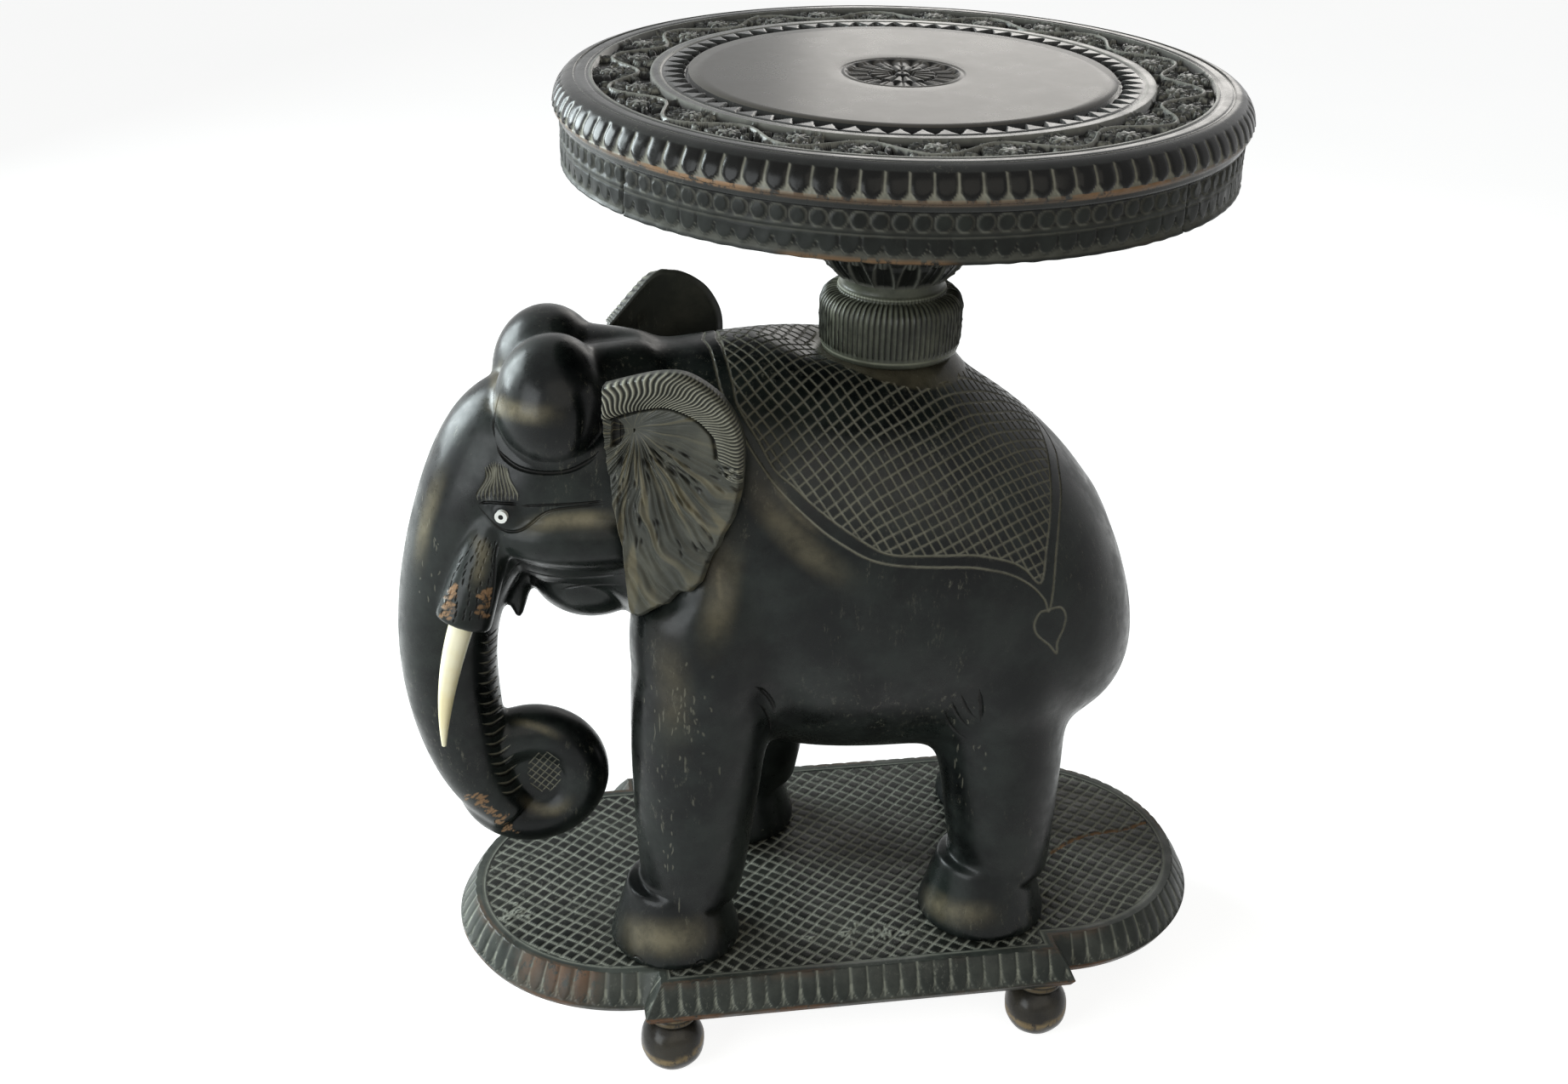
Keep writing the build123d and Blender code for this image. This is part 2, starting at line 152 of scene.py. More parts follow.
def cad_surface(name):
    """Corner points and triangles of a CAD node, in millimetres."""
    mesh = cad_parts[name].data
    mesh.calc_loop_triangles()
    points = np.empty(len(mesh.vertices) * 3)
    mesh.vertices.foreach_get("co", points)
    triangles = np.empty(len(mesh.loop_triangles) * 3, np.int32)
    mesh.loop_triangles.foreach_get("vertices", triangles)
    return points.reshape(-1, 3) * 1000 - (SHIFT, 0, 0), triangles.reshape(-1, 3)


class Volume:
    """Distance to a surface on a regular grid, negative inside."""

    def __init__(self, points, faces, margin=24.0):
        self.low = points.min(0) - margin
        self.size = np.ceil((points.max(0) + margin - self.low) / VOXEL).astype(int) + 1
        grid = openvdb.FloatGrid.createLevelSetFromPolygons(
            ((points - self.low) / VOXEL).astype(np.float32),
            triangles=faces.astype(np.uint32),
            transform=openvdb.createLinearTransform(voxelSize=1.0),
            halfWidth=BAND,
        )
        dense = np.full(tuple(self.size), grid.background, np.float32)
        grid.copyToArray(dense, ijk=(0, 0, 0))
        self.d = dense * VOXEL

    def axes(self):
        return [self.low[i] + VOXEL * np.arange(self.size[i]) for i in range(3)]

    def at(self, points, field=None):
        """Value of the distance, or of another field, at points."""
        field = self.d if field is None else field
        place = (np.asarray(points) - self.low) / VOXEL
        place = np.clip(place, 0, np.array(self.size) - 1.001)
        cell = place.astype(int)
        part = place - cell
        i, j, k = cell.T
        if field.ndim == 4:
            part = part[:, :, None]
        fx, fy, fz = part[:, 0], part[:, 1], part[:, 2]
        total = 0
        for di in (0, 1):
            wx = fx if di else 1 - fx
            for dj in (0, 1):
                wy = fy if dj else 1 - fy
                for dk in (0, 1):
                    wz = fz if dk else 1 - fz
                    total = total + wx * wy * wz * field[i + di, j + dj, k + dk]
        return total

    def prepare(self):
        """Gradient field, for normals."""
        slope = np.stack(np.gradient(self.d, VOXEL), axis=-1)
        self.slope = slope.astype(np.float32)

    def normal(self, points):
        n = self.at(points, self.slope)
        return n / np.maximum(np.linalg.norm(n, axis=1), 1e-6)[:, None]

    def settle(self, points, rounds=4):
        """Points moved onto the surface."""
        points = np.array(points, float)
        for _ in range(rounds):
            slope = self.at(points, self.slope)
            steep = np.maximum((slope**2).sum(1), 0.05)
            points -= (self.at(points) / steep)[:, None] * slope
        return points

    def hit(self, pixels):
        """Points of the surface seen at pixels of the picture."""
        aim = rays(pixels)
        along = np.full(len(aim), RAY_START)
        for _ in range(RAY_STEPS):
            gap = self.at(EYE + along[:, None] * aim)
            along += np.clip(gap * 0.8, -2.0, LONGEST_STEP)
        return EYE + along[:, None] * aim

    def seen(self, pixels):
        """As hit(), without the pixels that miss the surface."""
        path = self.hit(pixels)
        return path[np.abs(self.at(path)) < 1.0]


def blur(field, sigma):
    """Gaussian blur of a grid, sigma in millimetres."""
    reach = int(np.ceil(3 * sigma / VOXEL))
    steps = np.arange(-reach, reach + 1) * VOXEL
    weights = np.exp(-0.5 * (steps / sigma) ** 2)
    weights /= weights.sum()
    for axis in range(3):
        padded = np.pad(field, [(reach, reach) if a == axis else (0, 0) for a in range(3)], "edge")
        total = np.zeros_like(field)
        for offset, weight in enumerate(weights):
            cut = [slice(None)] * 3
            cut[axis] = slice(offset, offset + field.shape[axis])
            total += np.float32(weight) * padded[tuple(cut)]
        field = total
    return field


def elephant_volume():
    volume = Volume(*cad_surface("elephant_body"))
    sharp = blur(volume.d, 1.6)
    soft = blur(volume.d, 6.0)
    x, y, z = volume.axes()
    x, y, z = x[:, None, None], y[None, :, None], z[None, None, :]
    # Broad joins are softened: shoulders, haunches, neck. The head, tail and feet stay crisp.
    barrel = ramp(x, -120, -95) * ramp(z, 105, 135) * (1 - ramp(x, 128, 140))
    volume.d = sharp + (soft - sharp) * barrel.astype(np.float32)
    volume.prepare()
    return volume


# ---------------------------------------------------------------- meshes
def set_masks(mesh, masks):
    """Named values at a mesh's points, for its material."""
    for name, values in masks.items():
        layer = mesh.attributes.new(name, "FLOAT", "POINT")
        layer.data.foreach_set("value", np.asarray(values, np.float32))


def add_piece(mesh):
    """An object of the scene on the only body."""
    piece = bpy.data.objects.new(mesh.name, mesh)
    bpy.context.scene.collection.objects.link(piece)
    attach(piece, "root")
    return piece


def mesh_object(name, points, faces, masks=None):
    """A mesh piece in the frame from points in millimetres and faces with four corners."""
    mesh = bpy.data.meshes.new(name)
    faces = np.asarray(faces, np.int32)
    mesh.vertices.add(len(points))
    mesh.vertices.foreach_set("co", to_frame(points).astype(np.float32).ravel())
    width = faces.shape[1]
    mesh.loops.add(faces.size)
    mesh.loops.foreach_set("vertex_index", faces.ravel())
    mesh.polygons.add(len(faces))
    mesh.polygons.foreach_set("loop_start", np.arange(0, faces.size, width, dtype=np.int32))
    mesh.update(calc_edges=True)
    mesh.polygons.foreach_set("use_smooth", np.ones(len(faces), bool))
    set_masks(mesh, masks or {})
    mesh.validate()
    return add_piece(mesh)


def grid_faces(rows, columns, wrap_rows, wrap_columns):
    """Four-cornered faces between the points of a grid."""
    i = np.arange(rows if wrap_rows else rows - 1)
    j = np.arange(columns if wrap_columns else columns - 1)
    i, j = np.meshgrid(i, j, indexing="ij")
    i2, j2 = (i + 1) % rows, (j + 1) % columns
    faces = np.stack([i * columns + j, i * columns + j2, i2 * columns + j2, i2 * columns + j], -1)
    return faces.reshape(-1, 4)


# ---------------------------------------------------------------- carved lines
class Sorted:
    """Points in order along X, to find those near a path quickly."""

    def __init__(self, points):
        self.points = points
        self.order = np.argsort(points[:, 0])
        self.x = points[self.order, 0]

    def near(self, path, reach):
        """Indices of the points inside a path's box grown by reach."""
        low, high = path.min(0) - reach, path.max(0) + reach
        start, end = np.searchsorted(self.x, (low[0], high[0]))
        pick = self.order[start:end]
        rest = self.points[pick, 1:]
        return pick[np.all((rest > low[1:]) & (rest < high[1:]), axis=1)]


class Carving:
    """Grooves and ridges along paths, and places of paler tan that are partly rubbing and partly painted
    sheen, on both sides of the animal.
    """

    def __init__(self):
        self.strokes = []
        self.rubs_and_sheen = []

    def cut(self, path, width, depth, kind, taper=0.0):
        """A groove (depth > 0) or ridge (depth < 0) of a half width along a 3-D path."""
        for side in (1, -1):
            self.strokes.append((np.asarray(path, float) * (1, side, 1), width, depth, kind, taper))

    def rub_and_sheen(self, path, width, strength):
        """Place where the finish is painted a warmer, paler tan: partly where rubbing has lightened it,
        partly painted sheen and highlight.
        """
        for side in (1, -1):
            self.rubs_and_sheen.append((np.asarray(path, float) * (1, side, 1), width, strength))

    def worn(self, points):
        """How much of the warmer, paler tan, partly rubbing and partly painted sheen, lies at points."""
        total = np.zeros(len(points))
        ordered = Sorted(points)
        for path, width, strength in self.rubs_and_sheen:
            pick = ordered.near(path, width)
            if len(pick):
                gap, share = path_distance(points[pick], path)
                faded = strength * ramp(np.minimum(share, 1 - share), -0.1, 0.35)
                total[pick] = np.maximum(total[pick], faded * ramp(width - gap, 0, width))
        return total

    def near(self, points, reach):
        """True for points closer than reach to any stroke."""
        found = np.zeros(len(points), bool)
        ordered = Sorted(points)
        for path, width, _, _, _ in self.strokes:
            far = width + reach
            pick = ordered.near(path, far)
            pick = pick[~found[pick]]
            if len(pick):
                gap, _ = path_distance(points[pick], path)
                found[pick[gap < far]] = True
        return found

    def depth(self, points):
        """Depth below the surface at points, and how much each kind of stroke covers them."""
        cut = np.zeros(len(points))
        lift = np.zeros(len(points))
        masks = {}
        ordered = Sorted(points)
        for path, width, depth, kind, taper in self.strokes:
            pick = ordered.near(path, width * 1.05)
            if not len(pick):
                continue
            gap, share = path_distance(points[pick], path)
            wide = width * np.ones(len(pick))
            if taper:
                wide = width * np.clip(np.minimum(share, 1 - share) / taper, 0.08, 1)
            form = cut_form(gap, wide) ** 1.5
            layer = cut if depth > 0 else lift
            layer[pick] = np.maximum(layer[pick], abs(depth) * form * (wide / width))
            mask = masks.setdefault(kind, np.zeros(len(points)))
            mask[pick] = np.maximum(mask[pick], form)
        return cut - lift, masks


def path_distance(points, path):
    """Distance to a polyline, and the share of its length at the nearest place."""
    best = np.full(len(points), 1e9)
    share = np.zeros(len(points))
    pieces = np.linalg.norm(np.diff(path, axis=0), axis=1)
    total = max(pieces.sum(), 1e-6)
    done = 0.0
    for a, b, length in zip(path[:-1], path[1:], pieces):
        if length < 1e-9:
            continue
        t = np.clip(((points - a) @ (b - a)) / length**2, 0, 1)
        gap = np.linalg.norm(points - a - t[:, None] * (b - a), axis=1)
        closer = gap < best
        best[closer] = gap[closer]
        share[closer] = (done + t[closer] * length) / total
        done += length
    return best, share


def smooth_path(points, count):
    """Catmull-Rom curve through points, in any number of dimensions."""
    points = np.asarray(points, float)
    ends = np.concatenate([[2 * points[0] - points[1]], points, [2 * points[-1] - points[-2]]])
    t = np.linspace(0, 1, count, endpoint=False)[:, None]
    out = []
    for a, b, c, d in zip(ends[:-3], ends[1:-2], ends[2:-1], ends[3:]):
        square = (2 * a - 5 * b + 4 * c - d) * t**2
        cube = (3 * b - a - 3 * c + d) * t**3
        out.append(0.5 * (2 * b + (c - a) * t + square + cube))
    return np.concatenate(out + [points[-1:]])


def along_path(path, share):
    """Point at a share of a path's length."""
    path = np.asarray(path, float)
    step = np.linalg.norm(np.diff(path, axis=0), axis=1)
    reach = np.concatenate([[0], np.cumsum(step)]) / step.sum()
    return np.array([np.interp(share, reach, path[:, i]) for i in range(path.shape[1])])


def in_polygon(x, y, corners):
    """True for points inside a flat polygon."""
    inside = np.zeros(np.shape(x), bool)
    corners = np.asarray(corners, float)
    for (x0, y0), (x1, y1) in zip(corners, np.roll(corners, -1, axis=0)):
        if y0 == y1:
            continue
        crosses = (y0 > y) != (y1 > y)
        inside ^= crosses & (x < (x1 - x0) * (y - y0) / (y1 - y0) + x0)
    return inside


# ---------------------------------------------------------------- saddle cloth
BARREL_RADIUS = 95.0
BARREL_AXIS = 212 + STAND_Z
BARREL_DROOP = 0.2
# Outlines of the cloth and of the pendant at its corner, as pixels.
CLOTH_OUTER = [
    (829.7, 386), (835, 411), (845, 450), (853, 473), (868, 500.7), (880, 524), (898, 552),
    (911, 570), (933, 594), (966, 623.8), (992.6, 642), (1020, 657), (1050, 664.5), (1093, 667),
    (1137, 667), (1163, 670), (1189, 676), (1213, 689), (1228, 705), (1234, 716.6),
    (1241, 657), (1245, 613.5), (1247, 574.5), (1244, 548.5), (1238.7, 524.6), (1230, 498.6),
]
CLOTH_INNER = [
    (843, 389), (847.6, 404), (861, 450), (865, 471), (875, 491), (891.5, 517.7), (911, 552.5),
    (933, 572), (956, 594), (987.6, 618.8), (1025.8, 643.7), (1050, 652.6), (1093, 653.7),
    (1137, 652.6), (1163, 655), (1189, 661), (1206, 670), (1223.5, 685), (1230, 646),
    (1234, 613.5), (1235.5, 581), (1234, 553), (1230, 527), (1223.5, 507),
]
PENDANT = [
    (1234, 717), (1223, 720), (1216, 733), (1219, 746), (1234, 759), (1242, 768), (1243, 755),
    (1250, 739), (1253, 724), (1247, 714), (1234, 716),
]
# Heights on the back where the outlines cross its middle, at their front and rear ends.
CREST_FRONT, CREST_REAR = 385.0, 345.0
COLLAR_RADIUS = 39.5
HATCH_TURN = np.radians(-33.0)
HATCH_PITCH = (5.0, 5.7)
HATCH_HALF = 0.62
HATCH_LOW = 230.0


def around(points):
    """Place along the barrel, and arc length down from the back, for points on the barrel."""
    axis_z = BARREL_AXIS - BARREL_DROOP * np.clip(points[:, 0], 0, 200)
    turn = np.arctan2(np.abs(points[:, 1]), points[:, 2] - axis_z)
    return points[:, 0], turn * BARREL_RADIUS


def cloth_outline(volume, pixels):
    """Path of an outline of the cloth on the near side, from crest to crest of the back."""
    path = volume.seen(pixels)
    crest = volume.settle(np.array([[path[0, 0] - 2, 0, CREST_FRONT], [path[-1, 0], 0, CREST_REAR]]))
    path = np.concatenate([crest[:1], path, crest[1:]])
    return volume.settle(smooth_path(path, 5))


def cloth_lines(volume, carving):
    """Cut the outlines of the cloth and its pendant; the flat outline that bounds the hatching."""
    outer, inner = (cloth_outline(volume, pixels) for pixels in (CLOTH_OUTER, CLOTH_INNER))
    for path in (outer, inner):
        carving.cut(path, 0.8, 0.75, "line")
    carving.cut(volume.settle(smooth_path(volume.hit(PENDANT), 4)), 0.8, 0.7, "line")
    u, v = around(inner)
    v[0] = v[-1] = -5.0
    return np.stack([u, v], 1)


def hatch(points, outline):
    """Depth share of the crossed lines inside an outline on the barrel."""
    u, v = around(points)
    inside = in_polygon(u, v, outline)
    seat = np.hypot(points[:, 0] - SEAT_X, points[:, 1]) + wobble(points, 9, 5) * 0.8
    inside &= seat > COLLAR_RADIUS
    first = u * np.cos(HATCH_TURN) + v * np.sin(HATCH_TURN) + 0.55 * wobble(points, 30, 3)
    second = -u * np.sin(HATCH_TURN) + v * np.cos(HATCH_TURN) + 0.55 * wobble(points, 26, 4)
    share = np.zeros(len(points))
    for place, step in zip((first, second), HATCH_PITCH):
        row = np.round(place / step)
        gap = np.abs(place - row * step - 0.22 * np.sin(row * 2.4))
        share = np.maximum(share, cut_form(gap, HATCH_HALF))
    return share * inside


# ---------------------------------------------------------------- elephant
HEAD_REACH = -95.0
FIRST_QUADS = 300


def skin(volume):
    """Quads of the volume's surface that look outwards."""
    grid = openvdb.FloatGrid()
    grid.background = 25.0
    grid.copyFromArray(volume.d)
    points, quads = grid.convertToQuads(0.0)
    points = volume.settle(volume.low + np.asarray(points, float) * VOXEL)
    a, b, c = (points[quads[:FIRST_QUADS, i]] for i in (0, 1, 2))
    outward = (np.cross(b - a, c - a) * volume.normal(a)).sum(1).sum()
    return points, quads[:, ::-1] if outward < 0 else quads


def refined(points, quads, chosen, carving):
    """A mesh of quads cut 3 x 3 in the chosen places, and once more along the head's lines."""
    mesh = bpy.data.meshes.new("elephant_carving")
    mesh.from_pydata(points.tolist(), [], quads.tolist())
    bm = bmesh.new()
    bm.from_mesh(mesh)
    bm.faces.ensure_lookup_table()
    faces = [bm.faces[i] for i in np.flatnonzero(chosen)]
    edges = list({edge for face in faces for edge in face.edges})
    bmesh.ops.subdivide_edges(bm, edges=edges, cuts=2, use_grid_fill=True)
    bm.faces.ensure_lookup_table()
    middles = np.array([face.calc_center_median()[:] for face in bm.faces])
    fine = carving.near(middles, 0.6) & (middles[:, 0] < HEAD_REACH)
    edges = list({edge for i in np.flatnonzero(fine) for edge in bm.faces[i].edges})
    bmesh.ops.subdivide_edges(bm, edges=edges, cuts=1, use_grid_fill=True)
    bm.to_mesh(mesh)
    bm.free()
    return mesh


def mesh_values(items, key, count):
    """Three values for each of a mesh's points."""
    values = np.empty(count * 3, np.float32)
    items.foreach_get(key, values)
    return values.reshape(-1, 3)


def elephant_body(volume, carving, cloth):
    points, quads = skin(volume)
    u, v = around(points)
    on_cloth = in_polygon(u, v, cloth) & (points[:, 2] > HATCH_LOW) & (np.abs(points[:, 0]) < 125)
    wanted = on_cloth | carving.near(points, 2.5)
    mesh = refined(points, quads, wanted[quads].any(1), carving)
    count = len(mesh.vertices)
    points = volume.settle(mesh_values(mesh.vertices, "co", count).astype(float), 3)
    normal = volume.normal(points)
    depth, masks = carving.depth(points)
    masks["hatch"] = hatch(points, cloth) * (points[:, 2] > HATCH_LOW)
    depth = np.maximum(depth, 0.75 * masks["hatch"])
    carved = points - normal * depth[:, None]
    mesh.vertices.foreach_set("co", to_frame(carved).astype(np.float32).ravel())
    mesh.polygons.foreach_set("use_smooth", np.ones(len(mesh.polygons), bool))
    mesh.update()
    # Where nothing is carved, the shading follows the volume.
    own = mesh_values(mesh.vertex_normals, "vector", count)
    shown = np.where(np.abs(depth)[:, None] < 1e-4, normal, own)
    # Paler tan from the carving's places, partly rubbing and partly painted sheen, and an olive tone of
    # rubbing round the collar ring.
    collar = np.hypot(points[:, 0] - SEAT_X, points[:, 1])
    collar = ramp(COLLAR_RADIUS + 1.5 - collar, 0, 2.0) * ramp(points[:, 2], 360, 366)
    masks["worn"] = np.maximum(carving.worn(points), 0.35 * collar)
    masks.pop("none")
    set_masks(mesh, masks)
    mesh.normals_split_custom_set_from_vertices(shown.astype(np.float32))
    body = add_piece(mesh)
    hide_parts("elephant_body")
    return body


# ---------------------------------------------------------------- carved lines of the animal
# Each entry: half width, depth, what colours it, taper, and the pixels it runs through. Every
# line is cut again on the other side of the animal.
ANIMAL_LINES = [
    # Crease under the bulge of the forehead, and the flat edge in front of it.
    (1.5, 1.1, "dark", 0.15,
     [(583, 520), (590, 535), (610, 550), (640, 556), (670, 553), (695, 540), (706, 528)]),
    (0.9, 0.5, "dark", 0.3, [(583, 520), (580, 500), (584, 475), (590, 455)]),
    # Lids.
    (1.0, 1.0, "dark", 0.15, [(560.7, 592.5), (573, 590.5), (586, 591), (600, 592), (611, 593.7)]),
    (0.9, 0.9, "dark", 0.1, [(611, 593.7), (618, 594.8), (640, 594), (680, 592), (713, 589)]),
    (1.0, 1.0, "dark", 0.15,
     [(560.7, 592.5), (570, 604), (586, 620), (600, 625), (616, 621), (636, 606), (650, 600),
      (669, 597), (717, 592)]),
    (0.8, -0.6, "none", 0.3, [(566, 605), (583, 624), (600, 629), (618, 625), (636, 612)]),
    # Cheek and jaw.
    (1.2, 1.0, "dark", 0.15, [(612, 668), (640, 676), (670, 679), (700, 678), (735, 674)]),
    (0.9, 0.6, "dark", 0.2, [(655, 693), (680, 689), (710, 687), (735, 687)]),
    (0.9, 0.6, "dark", 0.3, [(592, 690), (600, 672), (612, 660)]),
    # Sleeve of the tusk.
    (1.0, 0.9, "dark", 0.1,
     [(562, 623), (553, 638), (544, 651), (533, 666), (526, 676.5), (520, 697), (512, 735)]),
    (0.9, 0.8, "dark", 0.1,
     [(587.5, 633), (584, 646), (582.4, 658.7), (581, 686.7), (577, 714.8), (569.7, 731)]),
    (0.8, 0.5, "dark", 0.2, [(513, 738), (530, 741), (550, 740), (568, 733)]),
    # Tail beside the crest of the rump.
    (0.8, 0.6, "line", 0.1, [(1240, 497), (1262, 522), (1283, 555), (1300, 592), (1312, 625)]),
    # Folds where the legs leave the belly.
    (1.3, 0.9, "dark", 0.3, [(884, 806), (897, 812), (908, 826), (912, 842)]),
    (1.0, 0.7, "dark", 0.3, [(890, 826), (900, 836), (905, 850), (906, 864)]),
    (1.0, 0.7, "dark", 0.3, [(1128, 812), (1133, 826), (1140, 838), (1150, 846)]),
    (1.0, 0.7, "dark", 0.3, [(1118, 822), (1124, 838), (1133, 850), (1145, 858)]),
    (1.0, 0.7, "dark", 0.3, [(1110, 834), (1116, 850), (1126, 862), (1140, 870)]),
    (1.6, 1.0, "dark", 0.3, [(1150, 806), (1153, 830), (1152, 850)]),
]
# Edges of the ladder of cuts inside the trunk, and of the sleeve of the tusk.
LADDER_LEFT = [(569.7, 727.5), (564.6, 758), (561.5, 793.8), (563.3, 829.5), (567, 855), (573.5, 888),
               (582.4, 916), (592.6, 939)]
LADDER_RIGHT = [(588.8, 714.8), (587.5, 753), (587, 778.5), (591.3, 819), (595, 855), (602.8, 880.5),
                (610.5, 906), (618, 929)]
LADDER_RUNGS = 18
SLEEVE_LEFT = [(562, 623), (544, 651), (526, 676.5), (519, 705), (513, 735)]
SLEEVE_RIGHT = [(587.5, 633), (582.4, 658.7), (581, 686.7), (577, 714.8), (570, 729)]
SLEEVE_ROWS, SLEEVE_COLUMNS = 11, 5
BROW_HAIRS = 11
# Middle and radius of the crossed cuts on the end of the trunk, in pixels, and how far apart they are.
NOSTRIL = np.array([640.0, 907.0])
NOSTRIL_REACH = 21.0
NOSTRIL_PITCH = 6.2
# Middle of each toenail that shows, and half its width, in pixels.
TOENAILS = ((747, 1133, 11), (826, 1138, 12), (862, 1114, 7), (1155, 1114, 12), (1093, 1098, 9),
            (1215, 1096, 7))
# Middle and spread, in pixels, and number of the fine scratches that run down the legs.
SCRATCHED = [((800, 850), (34, 60), 44), ((780, 1000), (22, 50), 14), ((1130, 900), (30, 50), 14),
             ((505, 650), (12, 60), 16)]
PLANNED = []


def cut_pixels(pixels, width, depth, kind, taper, count=4):
    """Plan one line through pixels, to be cut on both sides of the animal."""
    PLANNED.append((smooth_path(pixels, count), width, depth, kind, taper))


def cut_planned(volume, carving):
    """Cut all planned lines where their pixels see the animal."""
    places = volume.hit(np.concatenate([plan[0] for plan in PLANNED]))
    start = 0
    for pixels, width, depth, kind, taper in PLANNED:
        path = places[start:start + len(pixels)]
        start += len(pixels)
        path = path[np.abs(volume.at(path)) < 1.0]
        if len(path) > 1 and np.linalg.norm(np.diff(path, axis=0), axis=1).max() < 12:
            carving.cut(path, width, depth, kind, taper)


def brow():
    """Wavy upright hairs over the eye."""
    for index in range(BROW_HAIRS):
        high, low = 570 + 2.5 * index, 562 + 4.6 * index
        top = 542 + 0.5 * abs(index - 5) ** 1.5
        bend = 1.6 * np.sin(index * 0.9)
        line = [(high, top), (high + 1.6 + bend, top + 15), (low - 1.0, top + 33), (low, 589.0)]
        cut_pixels(line, 0.7, 0.9, "line", 0.2)
        beside = [(px + 2.0, py) for px, py in line]
        cut_pixels(beside, 0.6, 0.55, "dark", 0.2)


def on_sleeve(down, across):
    """Pixel on the sleeve of the tusk."""
    a, b = (along_path(path, down) for path in (SLEEVE_LEFT, SLEEVE_RIGHT))
    return a + (b - a) * across


def sleeve_hairs(draw):
    """Short cuts that run down the sleeve of the tusk."""
    for row in range(SLEEVE_ROWS):
        for column in range(SLEEVE_COLUMNS):
            down = (row + 0.3 + 0.5 * (column % 2) + draw.uniform(-0.15, 0.15)) / 11.5
            across = (column + 0.5 + draw.uniform(-0.25, 0.25)) / SLEEVE_COLUMNS
            start, end = on_sleeve(down, across), on_sleeve(min(down + 0.11, 1), across)
            cut_pixels([start, (start + end) / 2 + (-0.4, 0), end], 0.6, 0.7, "dark", 0.35)


def trunk_ladder():
    """Cuts across the inside of the trunk, each with its shade."""
    cut_pixels(LADDER_LEFT, 0.7, 0.7, "line", 0.05)
    for index in range(LADDER_RUNGS):
        share = 0.02 + 0.94 * index / (LADDER_RUNGS - 1)
        a, b = along_path(LADDER_LEFT, share), along_path(LADDER_RIGHT, share)
        middle = (a + b) / 2 + (0, 4.5)
        rung = [a, a * 0.5 + middle * 0.5 + (0, 1), middle, b * 0.5 + middle * 0.5 + (0, 0.5), b]
        cut_pixels(rung, 0.75, 0.8, "line", 0.2)
        cut_pixels([p + (0, 3.2) for p in (a, middle, b)], 0.9, 0.5, "dark", 0.3)


def nostril():
    """Crossed cuts on the end of the trunk."""
    for turn in (0.55, -0.75):
        way = np.array([np.cos(turn), np.sin(turn)])
        side = np.array([-way[1], way[0]])
        for row in range(-3, 4):
            place = row * NOSTRIL_PITCH
            half = np.sqrt(max(NOSTRIL_REACH**2 - place**2, 0)) * 0.95
            ends = [NOSTRIL + side * place + way * half * end for end in (-1, 0, 1)]
            ends = [(x, NOSTRIL[1] + (y - NOSTRIL[1]) * 1.15) for x, y in ends]
            cut_pixels(ends, 0.5, 0.5, "line", 0.1)


def toenails():
    """Rounded nails on the front of the feet."""
    for x, y, half in TOENAILS:
        arch = [(x + half * across, y + down)
                for across, down in ((-1, 5), (-0.7, -4), (0, -9), (0.7, -4), (1, 5))]
        cut_pixels(arch, 0.8, 0.6, "dark", 0.2)


def scratches(draw):
    """Fine pale scratches that run down the legs and the trunk."""
    for middle, spread_out, count in SCRATCHED:
        for _ in range(count):
            start = np.array(middle) + draw.normal(0, 0.6, 2) * spread_out
            end = start + (draw.normal(0, 1.0), draw.uniform(2, 6) + draw.exponential(3.5))
            bent = (start + end) / 2 + (draw.normal(0, 0.6), 0)
            cut_pixels([start, bent, end], draw.uniform(0.4, 0.7), 0.1, "faint", 0.3, 1)


# Half width, strength, and the pixels of a place painted a warmer, paler tan: partly rubbing of the finish,
# partly painted sheen and highlight.
RUBBED_AND_SHEEN = [
    (7.0, 0.9, [(616, 621), (645, 614), (675, 611), (705, 610), (730, 609)]),
    (7.5, 1.0, [(572, 470), (596, 480), (622, 487), (655, 488)]),
    (5.0, 0.7, [(592, 420), (584, 440), (580, 462)]),
    (9.0, 0.7, [(490, 665), (500, 610), (520, 550)]),
    (13.0, 0.55, [(856, 630), (850, 670), (846, 715), (836, 765)]),
    (2.5, 1.0, [(846, 652), (846, 690), (852, 722)]),
    (11.0, 0.45, [(884, 560), (908, 604), (950, 648), (1000, 684)]),
    (4.0, 0.45, [(905, 560), (930, 598), (965, 630)]),
    (3.5, 0.9, [(604, 848), (630, 853), (657, 866)]),
    (6.0, 0.6, [(556, 632), (568, 650), (560, 690)]),
    (15.0, 0.3, [(780, 740), (790, 800), (790, 880)]),
    (15.0, 0.85, [(705, 1080), (745, 1098), (790, 1104), (835, 1094)]),
    (11.0, 0.7, [(1085, 1052), (1120, 1072), (1170, 1076)]),
    (5.0, 0.6, [(612, 938), (630, 950), (655, 952), (672, 938)]),
]


# Ends of the bare strips on both edges of the sleeve, and how far their marks lean.
SLEEVE_STRIPS = (((532, 690), (525, 726), -2.0), ((574, 692), (563, 728), -5.0))
# Where the bare strip under the trunk starts, and how far it runs.
TRUNK_STRIP = np.array([556, 934]), np.array([48, 42])


def bare_patches(draw):
    """Places where the stain has gone: under the trunk, and on both edges of the sleeve."""
    start, run = TRUNK_STRIP
    for _ in range(60):
        spot = start + draw.uniform(0, 1) * run + draw.normal(0, 3.4, 2) * (1.0, 0.8)
        way = np.array([0.86, -0.5]) * draw.uniform(5, 10)
        cut_pixels([spot - way / 2, spot, spot + way / 2 + draw.normal(0, 0.8, 2)],
                   draw.uniform(0.8, 1.4), 0.15, "bare", 0.3, 2)
    for a, b, lean in SLEEVE_STRIPS:
        for _ in range(30):
            spot = np.array(a) + draw.uniform(0, 1) * (np.array(b) - a) + draw.normal(0, 3.6, 2) * (1, 0.3)
            way = np.array([draw.uniform(5, 9), lean * draw.uniform(0.2, 1)])
            cut_pixels([spot - way / 2, spot, spot + way / 2], draw.uniform(1.1, 1.8), 0.12, "bare", 0.3, 2)


